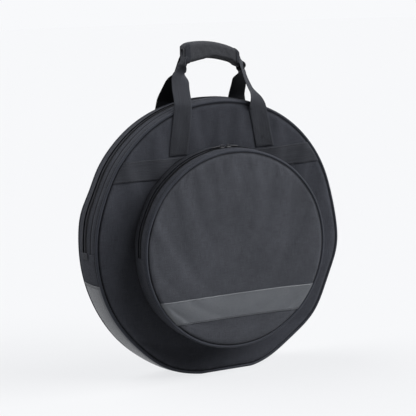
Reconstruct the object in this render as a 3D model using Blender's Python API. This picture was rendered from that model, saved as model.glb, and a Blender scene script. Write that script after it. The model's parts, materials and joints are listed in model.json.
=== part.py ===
"""A round padded cymbal bag that stands on its own base gusset.

Metres, +Z up. The bag's round outline lies in the XZ plane, its pocket faces -Y, and the
origin is under the middle of the main compartment, on the flat that the bag stands on.
"""

import math

import bmesh
import bpy
from mathutils import Matrix, Vector

# The main compartment
BAG_DIAMETER = 0.635
BAG_DEPTH = 0.0916
BASE_FLAT = 0.087
FABRIC = 0.0012
PANEL_FOAM = 0.0100
GUSSET_FOAM = 0.0060
LINING = 0.0008
PIPING_RADIUS = 0.0035
SEAM_GAP = 0.0003
DIVIDER_THICKNESS = 0.0030
DIVIDER_SPACING = 0.0220
DIVIDER_SHORT = 0.0720
VINYL_START_ANGLE = math.radians(104.3)

# The main zip, whose ends are the ends of the fold that the back opens on
FOLD_DROP = 0.0055
ZIP_SHIFT = 0.0030
ZIP_OPENING = 0.0190
TAPE = 0.0008
TAPE_UNDERLAP = 0.0040
COIL_WIDTH = 0.0030
COIL_HEIGHT = 0.0023
COIL_PARTING = 0.0016
END_TAB_LENGTH = 0.0140
END_TAB_THICKNESS = 0.0010

# The pocket on the front
POCKET_DIAMETER = 0.4582
POCKET_DEPTH = 0.0745
POCKET_DROP = 0.0133
POCKET_FOLD_DROP = 0.0020
POCKET_PAD = 0.0050
POCKET_ZIP_SETBACK = 0.0383
VINYL_STRIP_RISE = 0.0715
VINYL_STRIP_WIDTH = 0.0544
VINYL_STRIP_THICKNESS = 0.0015

# Sliders and pulls
SLIDER_LENGTH = 0.0140
SLIDER_WIDTH = 0.0090
SLIDER_PLATE = 0.0015
SLIDER_LIFT = 0.0007
SLIDER_POST = 0.0009
SLIDER_FOOT = 0.0045
SLIDERS_APART = 0.0160
MAIN_MEETING = math.radians(55)
BAIL_LENGTH = 0.0084
BAIL_HEIGHT = 0.0056
BAIL_BAR = 0.0012
BAIL_WIDTH = 0.0024
PULL_LENGTH = 0.0250
PULL_WIDTH = 0.0066
PULL_THICKNESS = 0.0014
PULL_ROOT_BAR = 0.0018
PULL_CLEARANCE = 0.0006
PULL_DROOP = math.radians(5)

# Webbing
WEB_WIDTH = 0.0450
WEB_THICKNESS = 0.0020
BAND_DROP = 0.0177
STITCH_STEP = 0.0006
ANCHOR_SHORT = 0.0006
HANDLE_SHIFT = 0.0110
ANCHOR_BOTTOM_SPREAD = 0.1135
ANCHOR_TOP_SPREAD = 0.0980

# The grip, with a wrap round both handles
GRIP_LENGTH = 0.1420
GRIP_SHIFT = 0.0140
GRIP_RISE = 0.1124
GRIP_TILT = 0.0081
GRIP_ARCH = 0.0127
FOLDED_WEB_WIDTH = 0.0220
FOLDED_WEB_THICKNESS = 0.0050
WRAP_WALL = 0.0075
WRAP_FLAP = 0.0060
WRAP_CORNER = 0.0070

# How finely round shapes are drawn
ARC_STEP = math.radians(5)
GRIP_STEPS = 8
CORNER_STEPS = 3

# Where a handle leg's sections lie, as shares of its curve from the foot to the wrap
LEG_SHARES = [0, 0.075, 0.14, 0.21, 0.30, 0.38, 0.46, 0.55, 0.66, 0.78, 0.89, 1]
LEG_RISE_SHARE = 0.77
LEG_STAND = 0.0125
LEG_SWING = 0.0150
LEG_CLEAR = 0.0030
FOLD_START_SHARE = 0.22
FOLD_END_SHARE = 0.52
LEAN_START_SHARE = 0.075
LEAN_PACE = 0.18
LEAN_CLOSE = 0.20
LEAN_CLOSE_SHARES = (0.45, 0.88)
TWIST = math.radians(55)
TWIST_SHARES = (0.09, 0.38, 0.42, 0.80)

# Sizes that follow from those above
RADIUS = BAG_DIAMETER / 2
HALF_DEPTH = BAG_DEPTH / 2
CENTRE_Z = math.sqrt(RADIUS ** 2 - (BASE_FLAT / 2) ** 2)
FOLD_Z = CENTRE_Z - FOLD_DROP
HALF_GAP = SEAM_GAP / 2
PIPING_SEAT = math.sqrt((PIPING_RADIUS + SEAM_GAP) ** 2 - (PIPING_RADIUS - FABRIC) ** 2)
PIPING_REACH = PIPING_RADIUS + PIPING_SEAT
PIPING_WIDTH = 2 * PIPING_RADIUS + SEAM_GAP
PANEL_STACK = FABRIC + PANEL_FOAM + LINING + 3 * SEAM_GAP
GUSSET_STACK = FABRIC + GUSSET_FOAM + LINING + 3 * SEAM_GAP
ZIP_FRONT = ZIP_SHIFT - ZIP_OPENING / 2
ZIP_REAR = ZIP_SHIFT + ZIP_OPENING / 2
POCKET_RADIUS = POCKET_DIAMETER / 2
POCKET_Z = CENTRE_Z - POCKET_DROP
POCKET_FOLD_Z = POCKET_Z - POCKET_FOLD_DROP
POCKET_BACK = -HALF_DEPTH - SEAM_GAP
POCKET_FACE = -HALF_DEPTH - POCKET_DEPTH
POCKET_ZIP_Y = POCKET_FACE + POCKET_ZIP_SETBACK
VINYL_STRIP_BOTTOM = POCKET_Z - POCKET_RADIUS + VINYL_STRIP_RISE
BAND_TOP = POCKET_Z + POCKET_RADIUS - BAND_DROP
BAND_BOTTOM = BAND_TOP - WEB_WIDTH
ANCHOR_INNER = ANCHOR_BOTTOM_SPREAD - HANDLE_SHIFT - WEB_WIDTH / 2
POCKET_TOP_AT_ANCHOR = POCKET_Z + math.sqrt((POCKET_RADIUS + SEAM_GAP) ** 2
                                            - ANCHOR_INNER ** 2)
ANCHOR_BOTTOM = max(BAND_TOP, POCKET_TOP_AT_ANCHOR) + STITCH_STEP
ANCHOR_OUTER = ANCHOR_TOP_SPREAD + HANDLE_SHIFT + WEB_WIDTH / 2
ANCHOR_TOP = CENTRE_Z + math.sqrt(RADIUS ** 2 - ANCHOR_OUTER ** 2) - ANCHOR_SHORT
WEB_FACE = HALF_DEPTH + SEAM_GAP + WEB_THICKNESS
WEB_OFFSET = WEB_FACE - WEB_THICKNESS / 2
LEG_FOOT_Z = ANCHOR_TOP + SEAM_GAP
BAG_TOP = CENTRE_Z + RADIUS
GRIP_HEIGHT = BAG_TOP + GRIP_RISE
DIVIDER_TOP = BAG_TOP - DIVIDER_SHORT
GRIP_WEB_OFFSET = (FOLDED_WEB_THICKNESS + SEAM_GAP) / 2
HOLLOW_HALF_DEPTH = FOLDED_WEB_THICKNESS + 1.5 * SEAM_GAP
HOLLOW_HALF_HEIGHT = FOLDED_WEB_WIDTH / 2 + SEAM_GAP
WRAP_TOP = HOLLOW_HALF_HEIGHT + WRAP_WALL
FLAP_INSIDE = HOLLOW_HALF_DEPTH + SEAM_GAP
FLAP_OUTSIDE = FLAP_INSIDE + WRAP_FLAP


def start_empty_scene():
    """Remove every object of the scene and return the bag's own collection."""
    for obj in list(bpy.data.objects):
        bpy.data.objects.remove(obj, do_unlink=True)
    bag = bpy.data.collections.new("cymbal_bag")
    bpy.context.scene.collection.children.link(bag)
    return bag


def make_material(name, colour, roughness, metallic=0.0):
    """Make a Principled material of one colour."""
    material = bpy.data.materials.new(name)
    material.use_nodes = True
    shader = material.node_tree.nodes["Principled BSDF"]
    shader.inputs["Base Color"].default_value = (*colour, 1.0)
    shader.inputs["Roughness"].default_value = roughness
    shader.inputs["Metallic"].default_value = metallic
    return material


BAG = start_empty_scene()
POCKET_NYLON = make_material("pocket_nylon", (0.052, 0.055, 0.062), 0.75)
BODY_NYLON = make_material("body_nylon", (0.022, 0.023, 0.026), 0.80)
GUSSET_VINYL = make_material("gusset_vinyl", (0.090, 0.098, 0.105), 0.45)
PIPING_BLACK = make_material("piping_black", (0.016, 0.016, 0.018), 0.55)
WEBBING = make_material("webbing", (0.018, 0.018, 0.020), 0.80)
FOAM = make_material("foam", (0.30, 0.30, 0.31), 0.95)
LINING_CLOTH = make_material("lining_cloth", (0.060, 0.060, 0.065), 0.90)
ZIP_TAPE = make_material("zip_tape", (0.012, 0.012, 0.013), 0.70)
ZIP_METAL = make_material("zip_metal", (0.32, 0.32, 0.33), 0.35, 1.0)
WRAP_NYLON = make_material("wrap_nylon", (0.020, 0.020, 0.023), 0.75)


def pivot(name, place, parent=None):
    """Add an empty on a joint's axis."""
    empty = bpy.data.objects.new(name, None)
    empty.location = place
    BAG.objects.link(empty)
    if parent is not None:
        attach(empty, parent)
    return empty


def attach(child, parent):
    """Parent an object and leave it where it is."""
    bpy.context.view_layer.update()
    child.parent = parent
    child.matrix_parent_inverse = parent.matrix_world.inverted()


def finish(obj, material, parent):
    """Give an object its material, its collection and its parent."""
    obj.data.materials.append(material)
    BAG.objects.link(obj)
    if parent is not None:
        attach(obj, parent)
    return obj


def outline_curve(name, loops, thickness):
    """Make a flat solid from closed loops of points, the first outside and the rest holes."""
    curve = bpy.data.curves.new(name, "CURVE")
    curve.dimensions = "2D"
    curve.fill_mode = "BOTH"
    curve.extrude = thickness / 2
    for loop in loops:
        spline = curve.splines.new("POLY")
        spline.points.add(len(loop) - 1)
        for point, (across, up) in zip(spline.points, loop):
            point.co = (across, up, 0, 1)
        spline.use_cyclic_u = True
    return curve


def slab(name, loops, front, back, material, parent=None):
    """Stand an outline in the XZ plane and fill it from one depth to another."""
    obj = bpy.data.objects.new(name, outline_curve(name, loops, back - front))
    obj.location = (0, (front + back) / 2, 0)
    obj.rotation_euler = (math.pi / 2, 0, 0)
    return finish(obj, material, parent)


def box_mesh(low, high):
    """Make a box between two corners as a bmesh."""
    mesh = bmesh.new()
    bmesh.ops.create_cube(mesh, size=1)
    size = Vector(high) - Vector(low)
    middle = (Vector(high) + Vector(low)) / 2
    for vert in mesh.verts:
        vert.co = Vector(part * length for part, length in zip(vert.co, size)) + middle
    return mesh


def sample_angles(start, end, extra=()):
    """List angles between two, a step apart, with any extra ones in their places."""
    count = max(1, math.ceil((end - start) / ARC_STEP - 0.001))
    angles = [start + (end - start) * step / count for step in range(count + 1)]
    angles += [angle for angle in extra if start < angle < end]
    return sorted(angles)


def bag_path(inset, start, end):
    """Points along the bag's outline, inset from it, between two angles from the top."""
    radius = RADIUS - inset
    flat_half = math.acos((CENTRE_Z - inset) / radius)
    flat_ends = (-math.pi - flat_half, -math.pi + flat_half, math.pi - flat_half,
                 math.pi + flat_half)
    points = []
    for angle in sample_angles(start, end, flat_ends):
        up = CENTRE_Z + radius * math.cos(angle)
        points.append((radius * math.sin(angle), max(up, inset)))
    return points


def pocket_path(inset, start, end):
    """Points along the pocket's outline, inset from it, between two angles from the top."""
    radius = POCKET_RADIUS - inset
    return [(radius * math.sin(angle), POCKET_Z + radius * math.cos(angle))
            for angle in sample_angles(start, end)]


def angle_at(radius, rise):
    """The angle from the top at which a circle of this radius is this high over its centre."""
    return math.acos(rise / radius)


def bag_angle(inset, height):
    """The angle from the top at which the inset outline of the bag is this high."""
    return angle_at(RADIUS - inset, height - CENTRE_Z)


def pocket_angle(inset, height):
    """The angle from the top at which the inset outline of the pocket is this high."""
    return angle_at(POCKET_RADIUS - inset, height - POCKET_Z)


def over_the_top(path, angle_of, outside, inside, height):
    """Outline of a strip that runs over the top between two insets, down to a height."""
    outer = angle_of(outside, height)
    inner = angle_of(inside, height)
    return path(outside, -outer, outer) + path(inside, -inner, inner)[::-1]


def under_the_bottom(path, angle_of, outside, inside, height):
    """Outline of a strip that runs under the bottom between two insets, up to a height."""
    outer = angle_of(outside, height)
    inner = angle_of(inside, height)
    turn = 2 * math.pi
    return path(outside, outer, turn - outer) + path(inside, inner, turn - inner)[::-1]


def top_disc(path, angle_of, inset, height):
    """Outline of the part of a disc above a height."""
    angle = angle_of(inset, height)
    return path(inset, -angle, angle)


def bottom_disc(path, angle_of, inset, height):
    """Outline of the part of a disc below a height."""
    angle = angle_of(inset, height)
    return path(inset, angle, 2 * math.pi - angle)


def piping(name, points, depth, closed, parent=None):
    """Run a round cord along points of the XZ plane."""
    curve = bpy.data.curves.new(name, "CURVE")
    curve.dimensions = "3D"
    curve.bevel_depth = PIPING_RADIUS
    curve.bevel_resolution = 2
    curve.use_fill_caps = not closed
    spline = curve.splines.new("POLY")
    spline.points.add(len(points) - 1)
    for point, (across, up) in zip(spline.points, points):
        point.co = (across, depth, up, 1)
    spline.use_cyclic_u = closed
    return finish(bpy.data.objects.new(name, curve), PIPING_BLACK, parent)


def fused(name, pieces):
    """Join overlapping pieces, each a mesh or a curve object, into one mesh."""
    helpers = bpy.data.collections.new(name + "_pieces")
    bpy.context.scene.collection.children.link(helpers)
    for piece in pieces:
        helpers.objects.link(piece)
    base = bpy.data.objects.new(name + "_joined", solid_mesh(pieces[0]))
    base.matrix_world = pieces[0].matrix_world
    helpers.objects.link(base)
    for piece in pieces[1:]:
        other = bpy.data.objects.new(piece.name + "_cutter", solid_mesh(piece))
        other.matrix_world = piece.matrix_world
        helpers.objects.link(other)
        union = base.modifiers.new("Join " + piece.name, "BOOLEAN")
        union.operation = "UNION"
        union.solver = "EXACT"
        union.object = other
    bpy.context.view_layer.update()
    graph = bpy.context.evaluated_depsgraph_get()
    mesh = bpy.data.meshes.new_from_object(base.evaluated_get(graph))
    mesh.transform(base.matrix_world)
    mesh.name = name
    for helper in list(helpers.objects):
        bpy.data.objects.remove(helper, do_unlink=True)
    bpy.data.collections.remove(helpers)
    return mesh


def solid_mesh(obj):
    """The welded mesh of an object that may be a curve."""
    bpy.context.view_layer.update()
    graph = bpy.context.evaluated_depsgraph_get()
    mesh = bpy.data.meshes.new_from_object(obj.evaluated_get(graph))
    work = bmesh.new()
    work.from_mesh(mesh)
    bmesh.ops.remove_doubles(work, verts=work.verts, dist=SEAM_GAP / 10)
    bmesh.ops.recalc_face_normals(work, faces=work.faces)
    work.to_mesh(mesh)
    work.free()
    return mesh


def standing_piece(name, loops, front, back):
    """An outline in the XZ plane, filled between two depths, that waits to be joined."""
    obj = bpy.data.objects.new(name, outline_curve(name, loops, back - front))
    obj.matrix_world = (Matrix.Translation((0, (front + back) / 2, 0))
                        @ Matrix.Rotation(math.pi / 2, 4, "X"))
    return obj


def box_piece(name, low, high):
    """A box that waits to be joined."""
    mesh = bpy.data.meshes.new(name)
    work = box_mesh(low, high)
    work.to_mesh(mesh)
    work.free()
    return bpy.data.objects.new(name, mesh)


def zip_half(name, path, angle_of, edge, parting, height, parent):
    """One side of a zip: a tape with its coil along the edge at the parting."""
    inward = 1 if parting > edge else -1
    coil_edge = parting - inward * COIL_PARTING / 2
    coil_back = coil_edge - inward * COIL_WIDTH
    tape_back = edge - inward * TAPE_UNDERLAP
    tape_edge = coil_edge - inward * COIL_WIDTH / 2
    tape_top = FABRIC + SEAM_GAP
    tape_loop = over_the_top(path, angle_of, tape_top, tape_top + TAPE, height)
    coil_top = tape_top + TAPE - COIL_HEIGHT
    coil_loop = over_the_top(path, angle_of, coil_top, tape_top + TAPE, height)
    tape = standing_piece(name + "_tape", [tape_loop], *sorted((tape_back, tape_edge)))
    coil = standing_piece(name + "_coil", [coil_loop], *sorted((coil_back, coil_edge)))
    return finish(bpy.data.objects.new(name, fused(name, [tape, coil])), ZIP_TAPE, parent)


def make_front():
    """The front panel with its foam and lining, in one piece from top to bottom."""
    skin = bag_path(PIPING_REACH, -math.pi, math.pi)[:-1]
    core = bag_path(PIPING_WIDTH, -math.pi, math.pi)[:-1]
    face = -HALF_DEPTH
    slab("front_panel", [skin], face, face + FABRIC, BODY_NYLON)
    face += FABRIC + SEAM_GAP
    slab("front_foam", [core], face, face + PANEL_FOAM, FOAM)
    face += PANEL_FOAM + SEAM_GAP
    slab("front_lining", [core], face, face + LINING, LINING_CLOTH)
    ring = bag_path(PIPING_RADIUS, -math.pi, math.pi)[:-1]
    piping("front_piping", ring, -HALF_DEPTH + PIPING_RADIUS, True)


def make_rear(name, disc, height, parent):
    """Half of the back, above or below the fold: its skin, foam and lining."""
    skin = disc(bag_path, bag_angle, PIPING_REACH, height)
    core = disc(bag_path, bag_angle, PIPING_WIDTH, height)
    face = HALF_DEPTH
    slab("rear_panel_" + name, [skin], face - FABRIC, face, BODY_NYLON, parent)
    face -= FABRIC + SEAM_GAP
    slab("rear_foam_" + name, [core], face - PANEL_FOAM, face, FOAM, parent)
    face -= PANEL_FOAM + SEAM_GAP
    slab("rear_lining_" + name, [core], face - LINING, face, LINING_CLOTH, parent)
    ring = disc(bag_path, bag_angle, PIPING_RADIUS, height)
    piping("rear_piping_" + name, ring, HALF_DEPTH - PIPING_RADIUS, False, parent)


def make_zip_strips(flap):
    """The fabric strips and the zip that run over the top of the gusset."""
    height = FOLD_Z + HALF_GAP
    strip = over_the_top(bag_path, bag_angle, 0, FABRIC, height)
    edge = HALF_DEPTH - PIPING_REACH
    slab("front_zip_strip", [strip], -edge, ZIP_FRONT, BODY_NYLON)
    slab("rear_zip_strip", [strip], ZIP_REAR, edge, BODY_NYLON, flap)
    zip_half("main_zip_front_half", bag_path, bag_angle, ZIP_FRONT, ZIP_SHIFT, height, None)
    zip_half("main_zip_rear_half", bag_path, bag_angle, ZIP_REAR, ZIP_SHIFT, height, flap)


def make_lower_gusset():
    """The gusset under the fold: fabric at both sides, vinyl under the bag, foam and lining."""
    height = FOLD_Z - HALF_GAP
    edge = HALF_DEPTH - PIPING_REACH
    parting = HALF_GAP / RADIUS
    for side, name in ((-1, "left"), (1, "right")):
        outer = bag_angle(0, height)
        inner = bag_angle(FABRIC, height)
        end = VINYL_START_ANGLE - parting
        loop = bag_path(0, outer, end) + bag_path(FABRIC, inner, end)[::-1]
        slab("side_gusset_" + name, [mirrored(loop, side)], -edge, edge, BODY_NYLON)
        tab_start = outer + SEAM_GAP / RADIUS
        tab_end = tab_start + END_TAB_LENGTH / RADIUS
        top = -SEAM_GAP - END_TAB_THICKNESS
        loop = bag_path(top, tab_start, tab_end) + bag_path(-SEAM_GAP, tab_start, tab_end)[::-1]
        slab("zip_end_tab_" + name, [mirrored(loop, side)], ZIP_FRONT - TAPE_UNDERLAP,
             ZIP_REAR + TAPE_UNDERLAP, WEBBING)
    start = VINYL_START_ANGLE + parting
    end = 2 * math.pi - start
    base = bag_path(0, start, end) + bag_path(FABRIC, start, end)[::-1]
    slab("base_gusset", [base], -edge, edge, GUSSET_VINYL)
    inside = HALF_DEPTH - PANEL_STACK
    top = FABRIC + SEAM_GAP
    foam = under_the_bottom(bag_path, bag_angle, top, top + GUSSET_FOAM, height)
    slab("gusset_foam", [foam], -inside, inside, FOAM)
    top += GUSSET_FOAM + SEAM_GAP
    lining = under_the_bottom(bag_path, bag_angle, top, top + LINING, height)
    slab("gusset_lining", [lining], -inside, inside, LINING_CLOTH)


def mirrored(loop, side):
    """A loop as it is for the right side, or mirrored for the left."""
    return [(side * across, up) for across, up in loop][::side]


def make_dividers():
    """Two soft dividers with straight tops that stand between the cymbals."""
    disc = bottom_disc(bag_path, bag_angle, GUSSET_STACK, DIVIDER_TOP)
    for side, name in ((-1, "front"), (1, "rear")):
        middle = side * DIVIDER_SPACING / 2
        slab("divider_" + name, [disc], middle - DIVIDER_THICKNESS / 2,
             middle + DIVIDER_THICKNESS / 2, LINING_CLOTH)


def make_pocket(flap):
    """The round pocket: gusset, zip and face, with the upper half of the face as a flap."""
    above = POCKET_FOLD_Z + HALF_GAP
    below = POCKET_FOLD_Z - HALF_GAP
    seat = POCKET_FACE + PIPING_REACH
    rear_edge = POCKET_ZIP_Y + ZIP_OPENING / 2
    front_edge = POCKET_ZIP_Y - ZIP_OPENING / 2
    upper = over_the_top(pocket_path, pocket_angle, 0, FABRIC, above)
    lower = under_the_bottom(pocket_path, pocket_angle, 0, FABRIC, below)
    slab("pocket_zip_rear_strip", [upper], rear_edge, POCKET_BACK, BODY_NYLON)
    slab("pocket_zip_front_strip", [upper], seat, front_edge, BODY_NYLON, flap)
    slab("pocket_lower_gusset", [lower], seat, POCKET_BACK, BODY_NYLON)
    zip_half("pocket_zip_rear_half", pocket_path, pocket_angle, rear_edge, POCKET_ZIP_Y, above,
             None)
    zip_half("pocket_zip_front_half", pocket_path, pocket_angle, front_edge, POCKET_ZIP_Y, above,
             flap)
    for name, disc, height, parent in (("upper", top_disc, above, flap),
                                       ("lower", bottom_disc, below, None)):
        skin = disc(pocket_path, pocket_angle, PIPING_REACH, height)
        core = disc(pocket_path, pocket_angle, PIPING_WIDTH, height)
        ring = disc(pocket_path, pocket_angle, PIPING_RADIUS, height)
        inside = POCKET_FACE + FABRIC + SEAM_GAP
        slab("pocket_face_" + name, [skin], POCKET_FACE, POCKET_FACE + FABRIC, POCKET_NYLON,
             parent)
        slab("pocket_pad_" + name, [core], inside, inside + POCKET_PAD, FOAM, parent)
        piping("pocket_piping_" + name, ring, POCKET_FACE + PIPING_RADIUS, False, parent)
    start = pocket_angle(PIPING_WIDTH, VINYL_STRIP_BOTTOM + VINYL_STRIP_WIDTH)
    end = pocket_angle(PIPING_WIDTH, VINYL_STRIP_BOTTOM)
    side = pocket_path(PIPING_WIDTH, start, end)
    strip = side + mirrored(side, -1)
    slab("pocket_vinyl_strip", [strip], POCKET_FACE - SEAM_GAP - VINYL_STRIP_THICKNESS,
         POCKET_FACE - SEAM_GAP, GUSSET_VINYL)


def make_bands(flap):
    """The webbing band across each panel, cut short at the pocket on the front."""
    near = -HALF_DEPTH - SEAM_GAP
    for side, name in ((-1, "left"), (1, "right")):
        rim = bag_path(PIPING_WIDTH, bag_angle(PIPING_WIDTH, BAND_TOP),
                       bag_angle(PIPING_WIDTH, BAND_BOTTOM))
        pocket = pocket_path(-SEAM_GAP, pocket_angle(-SEAM_GAP, BAND_TOP),
                             pocket_angle(-SEAM_GAP, BAND_BOTTOM))
        slab("front_band_" + name, [mirrored(rim + pocket[::-1], side)], near - WEB_THICKNESS,
             near, WEBBING)
    rim = bag_path(PIPING_WIDTH, bag_angle(PIPING_WIDTH, BAND_TOP),
                   bag_angle(PIPING_WIDTH, BAND_BOTTOM))
    slab("rear_band", [rim + mirrored(rim, -1)], -near, WEB_THICKNESS - near, WEBBING, flap)


def make_anchors(panel, facing, parent):
    """The sewn-down ends of one handle, from the band up to the rim."""
    for side, name in ((-1, "left"), (1, "right")):
        foot = HANDLE_SHIFT + side * ANCHOR_BOTTOM_SPREAD
        head = HANDLE_SHIFT + side * ANCHOR_TOP_SPREAD
        half = WEB_WIDTH / 2
        loop = [(foot - half, ANCHOR_BOTTOM), (foot + half, ANCHOR_BOTTOM),
                (head + half, ANCHOR_TOP), (head - half, ANCHOR_TOP)]
        faces = sorted((facing * (HALF_DEPTH + SEAM_GAP), facing * WEB_FACE))
        slab(panel + "_anchor_" + name, [loop], *faces, WEBBING, parent)


def grip_centre(share):
    """A point on the grip's middle line, from -1 at its left end to 1 at its right."""
    across = GRIP_SHIFT + share * GRIP_LENGTH / 2
    return Vector((across, 0, GRIP_HEIGHT - GRIP_TILT * share - GRIP_ARCH * share ** 2))


def eased(share, start, end=1):
    """Rise smoothly from 0 at the start share to 1 at the end share."""
    part = min(1, max(0, (share - start) / (end - start)))
    return part * part * (3 - 2 * part)


def lean(share):
    """How much of its way in to the grip a leg has leant: most of it low down, the rest late."""
    part = max(0, share - LEAN_START_SHARE) / (1 - LEAN_START_SHARE)
    early = 1 - math.exp(-(part / LEAN_PACE) ** 1.35)
    return (1 - LEAN_CLOSE) * early + LEAN_CLOSE * eased(share, *LEAN_CLOSE_SHARES)


def twist(share):
    """How far a leg's webbing is turned to face sideways."""
    start, full, hold, end = TWIST_SHARES
    return TWIST * eased(share, start, full) * (1 - eased(share, hold, end))


def leg_point(side, facing, share):
    """A point on a handle leg's middle line: up from its foot, then inwards to the wrap."""
    foot = Vector((HANDLE_SHIFT + side * ANCHOR_TOP_SPREAD, facing * WEB_OFFSET, LEG_FOOT_Z))
    top = grip_centre(side) + Vector((side * LEG_CLEAR, facing * GRIP_WEB_OFFSET, 0))
    rise = (top.z - foot.z) * LEG_RISE_SHARE
    stand = Vector((top.x + side * LEG_STAND, 0, foot.z + rise))
    guides = (foot, stand, top + Vector((side * LEG_SWING, 0, 0)), top)
    weights = ((1 - share) ** 3, 3 * (1 - share) ** 2 * share, 3 * (1 - share) * share ** 2,
               share ** 3)
    point = Vector((0, 0, 0))
    for guide, weight in zip(guides, weights):
        point += guide * weight
    point.y = foot.y + (top.y - foot.y) * lean(share)
    return point


def folded_section(fold):
    """Width and thickness of the webbing, from flat at 0 to folded in the grip at 1."""
    width = WEB_WIDTH + (FOLDED_WEB_WIDTH - WEB_WIDTH) * fold
    thickness = WEB_THICKNESS + (FOLDED_WEB_THICKNESS - WEB_THICKNESS) * fold
    return width, thickness


def web_section(centre, along, fold, turn):
    """The four corners of the webbing's section, square to its run in the plane of the grip."""
    width, thickness = folded_section(fold)
    flat = Vector((along.z, 0, -along.x)).normalized()
    deep = Vector((0, 1, 0))
    across = (flat * math.cos(turn) + deep * math.sin(turn)) * width / 2
    normal = (deep * math.cos(turn) - flat * math.sin(turn)) * thickness / 2
    return [centre - across - normal, centre + across - normal, centre + across + normal,
            centre - across + normal]


def make_handle_web(name, facing, parent):
    """One handle's free loop, lofted from flat legs to a folded strap inside the grip."""
    folds = [eased(share, FOLD_START_SHARE, FOLD_END_SHARE) for share in LEG_SHARES]
    turns = [facing * twist(share) for share in LEG_SHARES]
    path = [(leg_point(-1, facing, share), fold, turn)
            for share, fold, turn in zip(LEG_SHARES, folds, turns)]
    for step in range(GRIP_STEPS + 1):
        centre = grip_centre(2 * step / GRIP_STEPS - 1)
        centre.y = facing * GRIP_WEB_OFFSET
        path.append((centre, 1, 0))
    path += [(leg_point(1, facing, share), fold, turn)
             for share, fold, turn in zip(LEG_SHARES[::-1], folds[::-1], turns[::-1])]
    sections = []
    for index, (centre, fold, turn) in enumerate(path):
        ahead = path[min(index + 1, len(path) - 1)][0]
        behind = path[max(index - 1, 0)][0]
        along = ahead - behind
        if len(LEG_SHARES) <= index + 1 <= len(path) + 1 - len(LEG_SHARES):
            along = Vector((1, 0, 0))
        if index == 0:
            along = Vector((0, 0, 1))
        if index == len(path) - 1:
            along = Vector((0, 0, -1))
        sections.append(web_section(centre, along, fold, turn))
    return loft(name, sections, WEBBING, parent)


def loft(name, sections, material, parent):
    """A closed solid through sections that each have the same number of corners."""
    work = bmesh.new()
    rings = [[work.verts.new(corner) for corner in section] for section in sections]
    count = len(rings[0])
    for ring, following in zip(rings, rings[1:]):
        for corner in range(count):
            after = (corner + 1) % count
            work.faces.new((ring[corner], ring[after], following[after], following[corner]))
    work.faces.new(rings[0][::-1])
    work.faces.new(rings[-1])
    bmesh.ops.recalc_face_normals(work, faces=work.faces)
    mesh = bpy.data.meshes.new(name)
    work.to_mesh(mesh)
    work.free()
    return finish(bpy.data.objects.new(name, mesh), material, parent)


def rounded_corner(across, up, turn_across, turn_up):
    """Points of a rounded corner of the grip's section, turning towards its rear or front."""
    points = []
    for step in range(CORNER_STEPS + 1):
        angle = math.pi / 2 * step / CORNER_STEPS
        points.append((across + turn_across * WRAP_CORNER * math.sin(angle),
                       up + turn_up * WRAP_CORNER * math.cos(angle)))
    return points


def wrap_section():
    """The wrap's section, a C that is open towards the rear, as depth and height pairs."""
    front = -HOLLOW_HALF_DEPTH - WRAP_WALL + WRAP_CORNER
    top = WRAP_TOP - WRAP_CORNER
    corner = rounded_corner(front, top, -1, 1)
    outside = [(HOLLOW_HALF_DEPTH, WRAP_TOP)] + corner
    outside += [(depth, -height) for depth, height in outside[::-1]]
    inside = [(HOLLOW_HALF_DEPTH, -HOLLOW_HALF_HEIGHT), (-HOLLOW_HALF_DEPTH, -HOLLOW_HALF_HEIGHT),
              (-HOLLOW_HALF_DEPTH, HOLLOW_HALF_HEIGHT), (HOLLOW_HALF_DEPTH, HOLLOW_HALF_HEIGHT)]
    return outside + inside


def flap_section():
    """The section of the flap that closes the wrap at the rear."""
    corner = min(WRAP_CORNER, WRAP_FLAP) / 2
    return [(FLAP_INSIDE, -WRAP_TOP), (FLAP_OUTSIDE - corner, -WRAP_TOP),
            (FLAP_OUTSIDE, corner - WRAP_TOP), (FLAP_OUTSIDE, WRAP_TOP - corner),
            (FLAP_OUTSIDE - corner, WRAP_TOP), (FLAP_INSIDE, WRAP_TOP)]


def along_grip(name, section, material, parent):
    """Run a section along the grip's arched middle line."""
    sections = []
    for step in range(GRIP_STEPS + 1):
        centre = grip_centre(2 * step / GRIP_STEPS - 1)
        sections.append([centre + Vector((0, depth, height)) for depth, height in section])
    return loft(name, sections, material, parent)


def slider_mesh(name, radius, keeps):
    """A slider at the top of a circle, in that circle's frame; keeps is the side it clasps."""
    under = radius - FABRIC - SEAM_GAP - TAPE - SLIDER_LIFT
    coil_top = radius - FABRIC - SEAM_GAP - TAPE + COIL_HEIGHT
    plate_low = coil_top + SLIDER_LIFT
    plate_high = plate_low + SLIDER_PLATE
    half = SLIDER_LENGTH / 2
    wide = SLIDER_WIDTH / 2
    plate = box_piece("plate", (-half, -wide, plate_low), (half, wide, plate_high))
    post = box_piece("post", (-half / 2, -SLIDER_POST / 2, under - SLIDER_PLATE / 2),
                     (half / 2, SLIDER_POST / 2, plate_low + SLIDER_PLATE / 2))
    foot = box_piece("foot", (-half, min(keeps * SLIDER_FOOT, -keeps * SLIDER_POST / 2),
                              under - SLIDER_PLATE),
                     (half, max(keeps * SLIDER_FOOT, -keeps * SLIDER_POST / 2), under))
    long = BAIL_LENGTH / 2
    high = plate_high + BAIL_HEIGHT
    low = plate_high - SLIDER_PLATE / 2
    outer = [(-long, low), (long, low), (long, high), (-long, high)]
    inner = [(-long + BAIL_BAR, plate_high), (long - BAIL_BAR, plate_high),
             (long - BAIL_BAR, high - BAIL_BAR), (-long + BAIL_BAR, high - BAIL_BAR)]
    bail = standing_piece("bail", [outer, inner], -BAIL_WIDTH / 2, BAIL_WIDTH / 2)
    return fused(name, [plate, post, foot, bail])


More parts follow.
